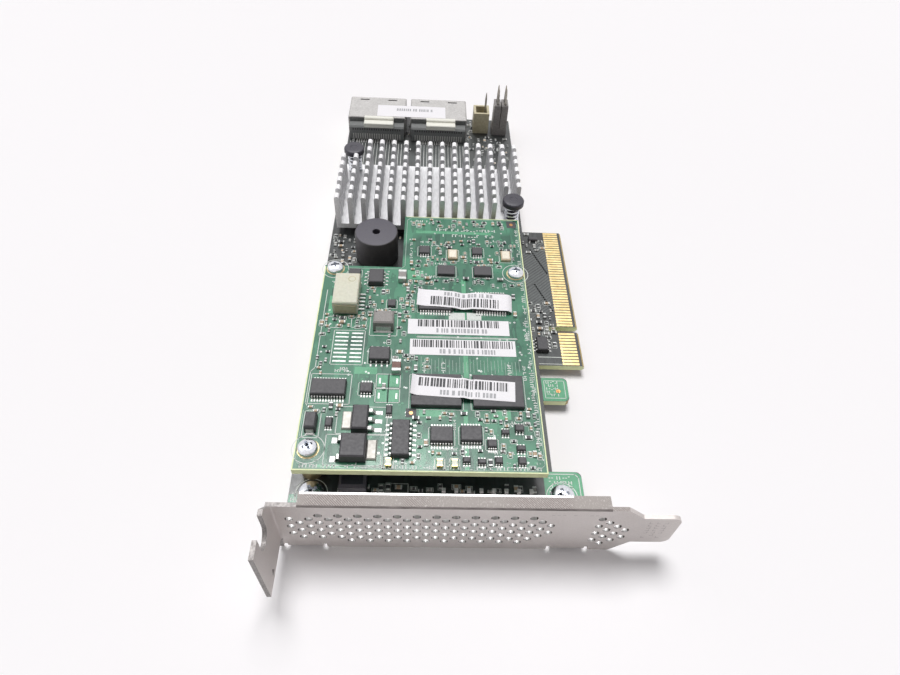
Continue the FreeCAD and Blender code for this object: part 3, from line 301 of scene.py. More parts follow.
class Piece:
    """Faces gathered in millimetres over a datum, then made into one object."""

    def __init__(self, name, datum, *materials):
        self.name = name
        self.datum = datum
        self.materials = materials
        self.points = []
        self.faces = []
        self.marks = []

    def add(self, points, faces, mark=0):
        start = len(self.points)
        self.points += points
        self.faces += [[start + index for index in face] for face in faces]
        self.marks += [mark] * len(faces)

    def patch(self, x0, y0, x1, y1, z=SKIN, mark=0):
        self.add(loop(x0, y0, x1, y1, z), [(0, 1, 2, 3)], mark)

    def around(self, x, y, width, length, z=SKIN, mark=0):
        """A flat rectangle by its middle."""
        self.patch(x - width / 2, y - length / 2, x + width / 2, y + length / 2, z, mark)

    def line(self, points, width=0.18, z=SKIN, mark=0):
        """A drawn line: one short strip for each run, squared off at its ends."""
        for (x0, y0), (x1, y1) in zip(points, points[1:]):
            run = math.hypot(x1 - x0, y1 - y0)
            dx = (x1 - x0) / run * width / 2
            dy = (y1 - y0) / run * width / 2
            self.add([(x0 - dx + dy, y0 - dy - dx, z), (x1 + dx + dy, y1 + dy - dx, z),
                      (x1 + dx - dy, y1 + dy + dx, z), (x0 - dx - dy, y0 - dy + dx, z)],
                     [(0, 1, 2, 3)], mark)

    def frame(self, x0, y0, x1, y1, width=0.18, mark=0):
        self.line([(x0, y0), (x1, y0), (x1, y1), (x0, y1), (x0, y0)], width, SKIN, mark)

    def frame_round(self, low, high, gap, width, mark=0):
        self.frame(low[0] - gap, low[1] - gap, high[0] + gap, high[1] + gap, width, mark)

    def ring(self, x, y, inner, outer, z=SKIN, mark=0, sides=32):
        pairs = zip(circle(x, y, z, inner, sides), circle(x, y, z, outer, sides))
        count = sides * 2
        self.add([point for pair in pairs for point in pair],
                 [(n, n + 1, (n + 3) % count, (n + 2) % count) for n in range(0, count, 2)], mark)

    def brick(self, low, high, chamfer=0.1, mark=0, draft=0.0):
        """A moulded block: upright or drafted walls and a broken top edge."""
        (x0, y0, z0), (x1, y1, z1) = low, high
        points = []
        for inset, z in ((0.0, z0), (draft, z1 - chamfer), (draft + chamfer, z1)):
            points += loop(x0 + inset, y0 + inset, x1 - inset, y1 - inset, z)
        self.add(points, [(3, 2, 1, 0), (8, 9, 10, 11), *walls(4, 2)], mark)

    def lathe(self, x, y, profile, mark=0, sides=48):
        """A turned form from (radius, height) points, lowest first."""
        points = []
        for radius, z in profile:
            points += circle(x, y, z, radius, sides)
        self.add(points, walls(sides, len(profile) - 1), mark)

    def wire(self, path, radius, sides=8):
        """A round wire along a path of points."""
        points = []
        for index, point in enumerate(path):
            ahead = Vector(path[min(index + 1, len(path) - 1)])
            behind = Vector(path[max(index - 1, 0)])
            along = (ahead - behind).normalized()
            side = along.cross(Vector((0, 0, 1))).normalized()
            up = side.cross(along)
            for number in range(sides):
                turn = math.tau * number / sides
                offset = side * math.cos(turn) + up * math.sin(turn)
                points.append(tuple(Vector(point) + offset * radius))
        ends = [tuple(range(sides - 1, -1, -1)),
                tuple(range(len(points) - sides, len(points)))]
        self.add(points, ends + walls(sides, len(path) - 1))

    def lead(self, x, y, way, reach, width, shoulder, mark=0):
        """A bent lead that leaves a body at (x, y) along way and lands on its pad."""
        wx, wy = way
        thick = 0.14
        bends = ((0.0, shoulder), (reach * 0.28, shoulder), (reach * 0.55, thick),
                 (reach, thick))
        points = []
        for out, z in bends:
            for side in (-0.5, 0.5):
                px = x + wx * out - wy * side * width
                py = y + wy * out + wx * side * width
                points += [(px, py, z), (px, py, z - thick)]
        faces = [(12, 14, 15, 13)]
        for step in range(0, 12, 4):
            faces += [(step, step + 2, step + 6, step + 4), (step, step + 4, step + 5, step + 1),
                      (step + 2, step + 3, step + 7, step + 6)]
        self.add(points, faces, mark)

    def make(self, slot, *replaced):
        """Turn the faces into an object that rides on the card."""
        mesh = bpy.data.meshes.new(self.name)
        x0, y0, z0 = self.datum
        mesh.from_pydata([((x + x0) * MM, (y + y0) * MM, (z + z0) * MM)
                          for x, y, z in self.points], [], self.faces)
        mesh.polygons.foreach_set("material_index", self.marks)
        mesh.shade_smooth()
        mesh.set_sharp_from_angle(angle=math.radians(32))
        for material in self.materials:
            mesh.materials.append(material)
        made = bpy.data.objects.new(self.name, mesh)
        bpy.context.scene.collection.objects.link(made)
        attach(made, "root")
        if replaced:
            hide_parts(*replaced)


def corner(node):
    """A node's lowest corner, in millimetres."""
    return tuple(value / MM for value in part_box(node)[0])


def solids_of(node, datum):
    """Lowest and highest corners of each separate solid of a node, over a datum."""
    mesh = NODES[node].data
    spots = [tuple(round(value / MM, 3) for value in vertex.co) for vertex in mesh.vertices]
    owner = {spot: spot for spot in spots}

    def root(key):
        while owner[key] != key:
            owner[key] = owner[owner[key]]
            key = owner[key]
        return key

    for polygon in mesh.polygons:
        first = root(spots[polygon.vertices[0]])
        for index in polygon.vertices[1:]:
            owner[root(spots[index])] = first
    groups = {}
    for key in owner:
        groups.setdefault(root(key), []).append(key)
    return sorted(tuple(tuple(end(values) - start for values, start in zip(zip(*keys), datum))
                        for end in (min, max)) for keys in groups.values())


def middle_of(box):
    low, high = box
    return tuple((a + b) / 2 for a, b in zip(low, high))


# ---- datums
main_low = corner("main_board")
main_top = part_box("main_board")[1].z / MM
MAIN = (main_low[0], main_low[1] - EAR_SETBACK, main_top)
module_low = corner("module_board")
module_high = tuple(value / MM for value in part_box("module_board")[1])
MODULE = (module_low[0], module_low[1], module_high[2])
module_width = module_high[0] - module_low[0]
module_length = module_high[1] - module_low[1]


# ---- boards and sheet metal
def paint(node, face, edge=None):
    """Give a CAD node its finish, with another one on its upright sides."""
    mesh = NODES[node].data
    mesh.materials.clear()
    mesh.materials.append(face)
    if edge is None:
        mesh.polygons.foreach_set("material_index", [0] * len(mesh.polygons))
        return
    mesh.materials.append(edge)
    for polygon in mesh.polygons:
        polygon.material_index = int(abs(polygon.normal.z) < 0.5)


paint("main_board", main_mask, laminate)
paint("module_board", module_mask, laminate)
for node, finish in {
        "edge_contacts": gold, "bracket": steel, "heat_sink": aluminium,
        "controller_chip": epoxy, "thermal_pad": ferrite, "port_shell_left": shell_steel,
        "port_shell_right": shell_steel, "port_housing_left": dark_housing,
        "port_housing_right": dark_housing, "shrouded_header": tan,
        "jumper_header_base": jumper_black, "stacking_plug": nylon_black,
        "stacking_socket": nylon_black, "module_standoffs": ring_metal,
        "buzzer_pins": tin}.items():
    paint(node, finish)

bracket = NODES["bracket"].data
for finish in (lip_steel, dark_edge_shade, highlight_steel, vent_side_shade, shade_steel):
    bracket.materials.append(finish)
bracket_low, bracket_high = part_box("bracket")
TAB_DEPTH = 11.43            # screw tab, in front of the plate
PLATE_HEIGHT = 18.42
FACE = bracket_low.y + TAB_DEPTH * MM
PLATE_TOP = bracket_low.z + PLATE_HEIGHT * MM
SHEET = 0.9 * MM
TONGUE = 9.0 * MM
LIP_START = 5.7              # end of the plate to the lip


def bracket_finish(normal, middle):
    """Which of the bracket's finishes a face takes: plain or hatched plating, painted shade on the
    top bend and the sheet's edges, and painted highlight and shade on the vent walls.
    """
    in_sheet = FACE - 0.05 * MM < middle.y < FACE + SHEET
    inside = bracket_low.z + 1.5 * MM < middle.z < PLATE_TOP - 1.5 * MM
    # the bend at the top of the plate: painted shade
    if in_sheet and not inside and normal.y < -0.2 and normal.z > 0.2:
        return 5
    # the lip; the sheet's upward edge left of it takes painted shade
    if normal.z > 0.5 and abs(middle.z - PLATE_TOP) < SHEET and middle.y > FACE:
        return 1 if middle.x > bracket_low.x + (LIP_START - 0.1) * MM else 2
    # the screw tab's edges: painted shade
    if middle.x < bracket_low.x + SHEET and abs(normal.x) < 0.5:
        return 2
    # vent walls: painted highlight where they face up, painted shade on the rest
    if in_sheet and inside and abs(normal.y) < 0.2 and middle.x < bracket_high.x - TONGUE:
        return 3 if normal.z > 0.7 else 4
    return 0


for polygon in bracket.polygons:
    polygon.material_index = bracket_finish(polygon.normal, polygon.center)

board = NODES["main_board"].data
board.materials.append(gold_laminate)
for polygon in board.polygons:
    if polygon.normal.x > 0.3:
        polygon.material_index = 2

sink = NODES["heat_sink"].data
sink.materials.append(fin_top_highlight)
sink_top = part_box("heat_sink")[1].z
# fin tops: painted highlight
for polygon in sink.polygons:
    if polygon.center.z > sink_top - 0.6 * MM and polygon.normal.z > 0.3:
        polygon.material_index = 1


# ---- leaded packages
def leaded(name, node, datum, slot, body, chamfer=0.18):
    """Moulded bodies with bent leads and bright lands in place of plain blocks."""
    piece = Piece(name, datum, body, tin, solder, epoxy, tab_metal)
    boxes = solids_of(node, datum)
    floor = min(low[2] for low, high in boxes)
    bodies = [box for box in boxes if box[0][2] > floor + 0.05]
    leads = [box for box in boxes if box[0][2] <= floor + 0.05]
    for low, high in bodies:
        piece.brick(low, high, chamfer, 0, 0.08)
        piece.ring(low[0] + 0.7, high[1] - 0.7, 0.0, 0.22, high[2] + 0.005, 3, 12)
    for low, high in leads:
        x, y, _ = middle_of((low, high))
        first, last = min(bodies, key=lambda body: abs(middle_of(body)[0] - x)
                          + abs(middle_of(body)[1] - y))
        size = (high[0] - low[0], high[1] - low[1])
        if min(size) > 1.5:
            piece.brick(low, high, 0.2, 4, 0.1)
            continue
        gaps = {(1, 0): low[0] - last[0], (-1, 0): first[0] - high[0],
                (0, 1): low[1] - last[1], (0, -1): first[1] - high[1]}
        way = max(gaps, key=gaps.get)
        axis = 0 if way[0] else 1
        root = last[axis] - 0.05 if sum(way) > 0 else first[axis] + 0.05
        start = (x, root) if axis else (root, y)
        reach = size[axis]
        wide = size[1 - axis]
        piece.lead(*start, way, reach + 0.05, wide, floor + (last[2] - floor) * 0.5, 1)
        middle = [start[k] + way[k] * (reach * 0.7 + 0.1) for k in (0, 1)]
        land = (wide * 1.25, reach * 0.75) if axis else (reach * 0.75, wide * 1.25)
        piece.around(*middle, *land, floor + SKIN, 2)
    piece.make(slot, node)


MOULDED = ("so8_chips", "gate_driver_chip", "so14_chip", "ssop_chips", "msop_chips",
           "cache_chips", "small_transistors")
for node in MOULDED:
    leaded(node + "_moulded", node, MODULE, "package_black", epoxy)
leaded("power_transistors_moulded", "power_transistors", MODULE, "package_black", epoxy, 0.3)
leaded("diode_moulded", "rectifier_diode", MODULE, "package_black", epoxy, 0.25)
leaded("module_choke_pressed", "module_choke", MODULE, "choke_grey", ferrite, 0.35)
leaded("main_chips_moulded", "main_board_chips", MAIN, "package_black", epoxy)


def bricks(name, node, datum, slot, material, chamfer=0.12):
    """A node's plain blocks, with broken edges."""
    piece = Piece(name, datum, material)
    for low, high in solids_of(node, datum):
        piece.brick(low, high, chamfer)
    piece.make(slot, node)


bricks("memory_cases", "memory_chips", MODULE, "chip_black", epoxy)
bricks("flat_cases", "flat_chips", MODULE, "chip_black", epoxy)
bricks("front_choke_case", "front_choke", MAIN, "choke_grey", nylon_black, 0.6)
bricks("activity_lenses", "activity_leds", MAIN, "led_cream", white_dot, 0.1)
for side in ("left", "right"):
    latch = Piece("latch_" + side, MAIN, latch_cream)
    (low, high), = solids_of("port_latch_" + side, MAIN)
    latch.brick(low, (high[0], high[1] - 1.4, high[2]), 0.15)
    latch.brick((low[0], high[1] - 1.6, low[2]), (high[0], high[1], high[2] + 0.7), 0.2)
    latch.make("latch_cream", "port_latch_" + side)
    bricks("port_tails_" + side, "port_leads_" + side, MAIN, "tin", tin, 0.03)


contacts = Piece("port_contacts", MAIN, tin, epoxy)
for side in ("left", "right"):
    (low, high), = solids_of("port_housing_" + side, MAIN)
    (_, latch_top), = solids_of("port_latch_" + side, MAIN)
    under = latch_top[2] - 1.7
    pitch = 0.8
    count = int((high[0] - low[0] - 2.4) / pitch)
    for number in range(count + 1):
        x = (low[0] + high[0]) / 2 + (number - count / 2) * pitch
        contacts.brick((x - 0.16, low[1] - 0.06, 0.25), (x + 0.16, low[1] + 0.2, 2.3), 0.05)
        contacts.brick((x - 0.2, low[1] - 0.03, under - 1.2), (x + 0.2, low[1] + 0.2, under - 0.5),
                       0.05, 1)
contacts.make("tin")


def ended(name, node, datum, slot, cases, ends=solder):
    """Two-ended parts: a case between bright plated ends."""
    piece = Piece(name, datum, *cases, ends)
    for number, (low, high) in enumerate(solids_of(node, datum)):
        two_ended(piece, low, high, number % len(cases), len(cases))
    piece.make(slot, node)


def two_ended(piece, low, high, case, plated):
    """One part, with its ends along its longer side."""
    axis = 0 if high[0] - low[0] > high[1] - low[1] else 1
    cap = (high[axis] - low[axis]) * 0.24
    grow = 0.03
    for start, end, mark, proud in ((low[axis] + cap, high[axis] - cap, case, 0.0),
                                    (low[axis], low[axis] + cap, plated, grow),
                                    (high[axis] - cap, high[axis], plated, grow)):
        a = [value - proud for value in low]
        b = [value + proud for value in high]
        a[axis] = start
        b[axis] = end
        a[2] = low[2]
        piece.brick(a, b, 0.06, mark)


ended("module_passive_parts", "module_passives", MODULE, "passive_grey",
      (ceramic_tan, ceramic_dark, ceramic_grey))
ended("main_passive_parts", "main_board_passives", MAIN, "passive_grey",
      (ceramic_tan, ceramic_dark))
ended("tantalum_parts", "module_capacitors", MODULE, "capacitor_brown", (brown_case, ferrite))
ended("led_parts", "module_leds", MODULE, "led_cream", (lens,), gold)


# ---- oscillators
crystals = Piece("oscillator_cans", MODULE, crystal_base, lid_metal)
for low, high in solids_of("oscillators", MODULE):
    crystals.brick(low, (high[0], high[1], high[2] * 0.8))
    crystals.brick((low[0] + 0.3, low[1] + 0.3, high[2] * 0.8),
                   (high[0] - 0.3, high[1] - 0.3, high[2]), 0.08, 1)
crystals.make("oscillator_cream", "oscillators")


# ---- screws
def cross_head(radius, height):
    """A pan head with a cross recess, as points and faces."""
    dome = Piece("head", (0, 0, 0))
    arc = [(radius * math.cos(turn), height * (0.35 + 0.65 * math.sin(turn)))
           for turn in [math.radians(step * 9) for step in range(10)]]
    dome.lathe(0, 0, [(0.0, 0.0), (radius, 0.0), *arc])
    head = bpy.data.objects.new("head", mesh_of(dome))
    cutter = Piece("cross", (0, 0, 0))
    for wide, long in ((radius * 0.16, radius * 0.62), (radius * 0.62, radius * 0.16)):
        deep = height * 0.58
        high = height * 1.12
        cutter.add(loop(-wide * 0.6, -long * 0.6, wide * 0.6, long * 0.6, deep)
                   + loop(-wide, -long, wide, long, high),
                   [(3, 2, 1, 0), (4, 5, 6, 7), *walls(4, 1)])
    tool = bpy.data.objects.new("cross", mesh_of(cutter))
    for item in (head, tool):
        bpy.context.scene.collection.objects.link(item)
    cut = head.modifiers.new("recess", "BOOLEAN")
    cut.object = tool
    cut.solver = "EXACT"
    cut.use_self = True
    bpy.context.view_layer.update()
    solved = head.evaluated_get(bpy.context.evaluated_depsgraph_get()).to_mesh()
    points = [tuple(vertex.co) for vertex in solved.vertices]
    faces = [tuple(polygon.vertices) for polygon in solved.polygons]
    for item in (head, tool):
        bpy.data.objects.remove(item)
    return points, faces


def mesh_of(piece):
    mesh = bpy.data.meshes.new(piece.name)
    mesh.from_pydata(piece.points, [], piece.faces)
    mesh.validate()
    return mesh


def screws(name, node, datum, share=1.0):
    """Cross-recessed heads and their shanks, each turned another way."""
    piece = Piece(name, datum, bright_steel)
    boxes = solids_of(node, datum)
    low, high = boxes[0]
    radius = (high[0] - low[0]) / 2 * share
    head_height = 1.7
    points, faces = cross_head(radius, head_height)
    for number, box in enumerate(boxes):
        x, y, _ = middle_of(box)
        base = box[1][2] - head_height
        spin = Matrix.Rotation(0.5 + number * 1.3, 3, "Z")
        turned = [spin @ Vector(point) for point in points]
        piece.add([(x + p.x, y + p.y, base + p.z) for p in turned], faces)
        piece.lathe(x, y, [(0.0, box[0][2]), (radius * 0.45, box[0][2]),
                           (radius * 0.45, base)], 0, 20)
    piece.make("screw_steel", node)


screws("bracket_screw_heads", "bracket_screws", MAIN)
screws("module_screw_heads", "module_screws", MODULE, 0.78)


# ---- push pins and springs
def mushroom(radius, bottom, top, stem, low):
    """Profile of a push pin: tip, barb, stem and a flat disc of a head."""
    return [(0.0, low), (stem * 0.5, low), (stem * 1.18, low + 1.5), (stem, low + 1.8),
            (stem, bottom), (radius * 0.94, bottom), (radius, bottom + 0.2),
            (radius, top - 0.4), (radius * 0.93, top - 0.08), (radius * 0.86, top),
            (radius * 0.4, top), (radius * 0.34, top - 0.12), (0.0, top - 0.12)]


pins = Piece("push_pin_forms", MAIN, nylon_black)
coils = Piece("push_pin_coils", MAIN, bright_steel)
spring_boxes = solids_of("push_pin_springs", MAIN)
for pin_box, spring_box in zip(solids_of("push_pins", MAIN), spring_boxes):
    x, y, _ = middle_of(pin_box)
    head = (pin_box[1][0] - pin_box[0][0]) / 2
    pins.lathe(x, y, mushroom(head, pin_box[1][2] - 1.8, pin_box[1][2], 1.3, pin_box[0][2]))
    bottom = spring_box[0][2]
    rise = spring_box[1][2] - bottom
    wire = 0.26
    radius = (spring_box[1][0] - spring_box[0][0]) / 2 - wire
    steps = 20               # in each of the five turns
    path = []
    for step in range(5 * steps + 1):
        angle = math.tau * step / steps
        height = bottom + wire + (rise - wire * 2) * step / (5 * steps)
        path.append((x + radius * math.cos(angle), y + radius * math.sin(angle), height))
    coils.wire(path, wire)
pins.make("pin_black", "push_pins")
coils.make("screw_steel", "push_pin_springs")


# ---- buzzer
low, high = (tuple(value / MM for value in point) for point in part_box("buzzer"))
radius = (high[0] - low[0]) / 2
tall = high[2] - low[2]
x, y, _ = middle_of((low, high))
can = Piece("buzzer_can", (x, y, low[2]), slate_top, epoxy)
can.lathe(0, 0, [(0.0, 0.0), (radius - 0.2, 0.0), (radius, 0.3), (radius, tall - 0.45),
                 (radius - 0.12, tall - 0.13), (radius - 0.3, tall - 0.02)], 1, 72)
can.lathe(0, 0, [(radius - 0.3, tall - 0.02), (radius - 0.5, tall), (1.15, tall),
                 (1.05, tall - 0.1), (1.05, tall - 2.5), (0.0, tall - 2.5)], 0, 72)
can.make("buzzer_black", "buzzer")


# ---- header pins
def pointed_pins(name, node, taper):
    """Square pins with long drawn points."""
    piece = Piece(name, MAIN, pin_metal)
    for low, high in solids_of(node, MAIN):
        x, y, _ = middle_of((low, high))
        half = (high[0] - low[0]) / 2
        points = []
        for size, z in ((half * 0.4, low[2]), (half, low[2] + 0.4), (half, high[2] - taper),
                        (half * 0.55, high[2] - 0.5), (half * 0.15, high[2])):
            points += loop(x - size, y - size, x + size, y + size, z)
        piece.add(points, [(3, 2, 1, 0), (16, 17, 18, 19), *walls(4, 4)])
    piece.make("tin", node)


pointed_pins("jumper_pin_points", "jumper_header_pins", 3.0)
pointed_pins("header_pin_points", "shrouded_header_pins", 2.5)
caps = Piece("jumper_cap_forms", MAIN, jumper_black, epoxy)
for low, high in solids_of("jumper_caps", MAIN):
    if high[2] - low[2] > 3:
        caps.brick(low, high, 0.25, 0, 0.05)
        x, y, _ = middle_of((low, high))
        caps.around(x, y, 0.9, high[1] - low[1] - 1.4, high[2] + 0.01, 1)
caps.make("pin_black", "jumper_caps")


# ---- power connector
(low, high), = solids_of("power_connector", MODULE)
plug = Piece("power_connector_form", MODULE, cream, tan)
plug.brick(low, high, 0.25)
plug.ring(high[0] - 1.9, high[1] - 2.2, 0.75, 0.95, high[2] + 0.01, 1)
plug.brick((low[0] + 0.5, low[1] - 0.25, 0.6), (high[0] - 0.5, low[1], 3.1), 0.1, 1)
plug.make("connector_cream", "power_connector")
legs = Piece("power_connector_legs", MODULE, solder)
for low, high in solids_of("power_connector_pins", MODULE):
    legs.brick(low, high, 0.12)
legs.make("tin", "power_connector_pins")


# ---- labels
def bar_widths(total):
    """Generic bars and gaps that fill a length."""
    spent = 0.0
    bars = []
    while spent < total:
        bar = dice.choice((0.22, 0.22, 0.38, 0.55))
        gap = dice.choice((0.18, 0.18, 0.3, 0.42))
        bars.append((spent, min(bar, total - spent)))
        spent += bar + gap
    return bars


def label(name, node, datum, lift, turn, margin, bars, words):
    """A stuck label: paper that follows lift(u), bars, and a row of dashes."""
    (low, high), = solids_of(node, datum)
    x, y, _ = middle_of((low, high))
    width = high[0] - low[0]
    length = high[1] - low[1]
    piece = Piece(name, (datum[0] + x, datum[1] + y, datum[2]), label_paper, print_black,
                  print_grey)
    cosine = math.cos(math.radians(turn))
    sine = math.sin(math.radians(turn))

    def spot(u, v, rise=0.0):
        return (u * cosine - v * sine, u * sine + v * cosine, lift(x + u) + rise)

    columns = 60
    rows = 4
    points = []
    for layer in (0.0, -PAPER):
        for row in range(rows + 1):
            for column in range(columns + 1):
                points.append(spot((column / columns - 0.5) * width,
                                   (row / rows - 0.5) * length, layer))
    stride = columns + 1
    under = stride * (rows + 1)
    cells = [row * stride + column for row in range(rows) for column in range(columns)]
    faces = [(a, a + 1, a + stride + 1, a + stride) for a in cells]
    faces += [(under + a, under + a + stride, under + a + stride + 1, under + a + 1)
              for a in cells]
    border = ([*range(columns)] + [columns + stride * row for row in range(rows)]
              + [stride * rows + column for column in range(columns, 0, -1)]
              + [stride * row for row in range(rows, 0, -1)])
    faces += [(under + a, under + b, b, a) for a, b in zip(border, border[1:] + border[:1])]
    piece.add(points, faces)

    def printed(u0, u1, v0, v1, mark):
        piece.add([spot(u0, v0, SKIN), spot(u1, v0, SKIN), spot(u1, v1, SKIN),
                   spot(u0, v1, SKIN)], [(0, 1, 2, 3)], mark)

    start = margin - width / 2
    if bars:
        v0, v1 = ((share - 0.5) * length for share in bars)
        for offset, bar in bar_widths(width - margin * 2):
            printed(start + offset, start + offset + bar, v0, v1, 1)
    v0, v1 = ((share - 0.5) * length for share in words)
    left = -width * 0.22
    while left < width * 0.3:
        run = dice.choice((0.35, 0.5, 0.5, 0.65))
        printed(left, left + run, v0, v1, 2)
        left += run + dice.choice((0.25, 0.25, 0.7))
    piece.make("label_white", node)


def smooth_step(low, high, value):
    share = min(max((value - low) / (high - low), 0.0), 1.0)
    return share * share * (3 - 2 * share)


cache_boxes = [box for box in solids_of("cache_chips", MODULE) if box[0][2] > 0.05]
memory_boxes = solids_of("memory_chips", MODULE)


def over_cache(u):
    """Height of the label that drapes from chip to chip."""
    (first, left_high), (right_low, last) = cache_boxes[:2]
    top = left_high[2] + 0.12
    left_end = left_high[0]
    right_start = right_low[0]
    dip = (smooth_step(left_end, (left_end + right_start) / 2, u)
           - smooth_step((left_end + right_start) / 2, right_start, u))
    droop = smooth_step(last[0], last[0] + 1.6, u)
    curl = smooth_step(first[0] + 1.0, first[0] - 1.4, u) if u < first[0] + 1.0 else 0.0
    return top - 0.6 * dip - 0.75 * droop + 0.35 * curl + 0.05 * (1.0 + math.sin(u * 1.1))


def over_memory(u):
    (first, left_high), (right_low, _) = memory_boxes[:2]
    top = left_high[2] + 0.1
    gap = (left_high[0] + right_low[0]) / 2
    ripple = 0.22 * math.exp(-((u - gap + 0.9) / 0.8) ** 2)
    ripple -= 0.18 * math.exp(-((u - gap - 0.8) / 0.7) ** 2)
    flap = max(first[0] + 1.8 - u, 0.0)
    return top + ripple + 0.16 * flap * flap


def flat(u):
    return 0.1


label("cache_label_paper", "label_cache", MODULE, over_cache, -3.0, 3.4, (0.1, 0.62),
      (0.7, 0.92))
label("upper_label_paper", "label_upper", MODULE, flat, 0.0, 2.4, (0.5, 0.97), (0.12, 0.4))
label("lower_label_paper", "label_lower", MODULE, flat, 0.0, 0.7, (0.48, 0.95), (0.1, 0.38))
label("memory_label_paper", "label_memory", MODULE, over_memory, -3.6, 1.6, (0.48, 0.92),
      (0.1, 0.34))
port_top = solids_of("port_label", MAIN)[0][1][2]
label("port_label_paper", "port_label", MAIN, lambda u: port_top, 0.0, 3.0, None,
      (0.52, 0.74))


# ---- module board print
KEEP = []                    # what the module board's small parts stay clear of
for node in (*MOULDED, "memory_chips", "flat_chips", "oscillators", "module_leds",
             "power_connector", "power_connector_pins", "label_upper", "label_lower",
             "power_transistors", "rectifier_diode", "module_choke", "module_capacitors",
             "module_passives"):
    KEEP += solids_of(node, MODULE)
MODULE_SCREWS = [middle_of(box) for box in solids_of("module_screws", MODULE)]
for x, y, _ in MODULE_SCREWS:
    KEEP.append(((x - SCREW_CLEARANCE, y - SCREW_CLEARANCE, 0.0),
                 (x + SCREW_CLEARANCE, y + SCREW_CLEARANCE, 1.0)))
EMPTY_LANDS = ((4.8, 27.2, 12.2, 37.6), (15.8, 16.9, 21.2, 24.7), (48.8, 77.2, 52.4, 80.6))
for x0, y0, x1, y1 in EMPTY_LANDS:
    KEEP.append(((x0, y0, 0.0), (x1, y1, 1.0)))


def overlaps(boxes, x, y, wide, long, gap):
    """Whether a part at (x, y) comes nearer to one of the boxes than the gap."""
    return any(low[0] - gap < x + wide / 2 and x - wide / 2 < high[0] + gap
               and low[1] - gap < y + long / 2 and y - long / 2 < high[1] + gap
               for low, high in boxes)


def is_free(x, y, wide, long, gap=0.25):
    """Whether a small part fits on the module board at (x, y)."""
    on_board = (1.0 + wide / 2 < x < module_width - 1.0 - wide / 2
                and 0.8 + long / 2 < y < module_length - 1.0 - long / 2)
    in_cutout = x < 21.5 and y > 58.5
    return on_board and not in_cutout and not overlaps(KEEP, x, y, wide, long, gap)


def snapped(low, high):
    """A random place on the grid."""
    return round(dice.uniform(low, high) / GRID) * GRID


def scattered(piece, clusters, taken, size, fits, cases):
    """Fill areas with resistors and capacitors that fit, and give the box of each."""
    for x0, y0, x1, y1, count in clusters:
        for attempt in range(count * 3):
            wide, long = size()
            x, y = snapped(x0, x1), snapped(y0, y1)
            if count == 0 or not fits(x, y, wide, long):
                continue
            count -= 1
            box = ((x - wide / 2, y - long / 2, 0.0), (x + wide / 2, y + long / 2, PART_HEIGHT))
            two_ended(piece, *box, dice.choice(cases), 3)
            taken.append(box)
            yield box


def drawn_size():
    """Width and length of a small part on the module board."""
    upright = dice.random() < 0.5
    wide, long = ((0.55, 1.05), (0.8, 1.55))[dice.random() < 0.18]
    return (wide, long) if upright else (long, wide)


small_parts = Piece("module_small_parts", MODULE, ceramic_tan, ceramic_dark, ceramic_grey, solder)
marks = Piece("module_print", MODULE, ink, faint_ink)
lands = Piece("module_lands", MODULE, solder, bright_mask, copper_spot, ring_metal, epoxy)
CLUSTERS = (                 # each an area and the most small parts in it
    (38.5, 1.0, 51.6, 18.5, 64), (22.0, 1.2, 38.5, 6.0, 16), (1.2, 13.4, 9.0, 17.2, 7),
    (17.5, 26.0, 27.5, 46.0, 46), (20.5, 43.0, 25.5, 60.0, 26), (1.4, 30.0, 4.6, 44.0, 14),
    (5.0, 38.4, 13.6, 43.0, 10), (10.8, 43.0, 17.0, 52.0, 18), (22.2, 54.0, 51.0, 57.0, 18),
    (22.2, 60.8, 51.0, 63.6, 22), (22.2, 68.6, 51.0, 71.6, 18), (28.0, 62.0, 47.0, 70.0, 20),
    (22.2, 76.6, 48.0, 80.2, 26), (26.4, 12.4, 51.0, 15.4, 16), (46.0, 60.0, 51.5, 72.0, 8),
    (1.2, 17.5, 4.0, 31.0, 10), (18.6, 9.6, 19.8, 22.6, 4), (24.0, 6.0, 28.0, 13.0, 8))
for box in scattered(small_parts, CLUSTERS, KEEP, drawn_size, is_free, (0, 0, 1, 1, 2)):
    if dice.random() < 0.6:
        marks.frame_round(*box, 0.22, 0.13, dice.randint(0, 1))
small_parts.make("passive_grey")

for number in range(520):
    x = dice.uniform(1.4, module_width - 1.4)
    y = dice.uniform(1.4, module_length - 1.4)
    if is_free(x, y, 0.5, 0.5, 0.1):
        lands.ring(x, y, 0.11, 0.25, SKIN * 0.8, 0 if dice.random() < 0.5 else 1, 10)


def dashes(piece, x, y, count, tall=0.9, upright=False, mark=0, chance=0.88):
    """A row or column of short unreadable strokes that stand where lettering would be."""
    stroke = 0.15 + tall * 0.09
    wide = tall * 0.5
    for number in range(count):
        if dice.random() > chance:
            continue
        step = number * tall * 0.78
        lean = dice.choice((0, 1, 2))
        spot = dice.choice((-0.4, 0.0, 0.4)) * tall
        strokes = []
        if lean != 1:
            strokes.append((step - wide / 2, 0.0, stroke, tall))
        if lean != 0:
            strokes.append((step, spot, wide, stroke))
        for along, across, run, rise in strokes:
            if upright:
                along, across, run, rise = across, along, rise, run
            piece.around(x + along, y + across, run, rise, SKIN, mark)


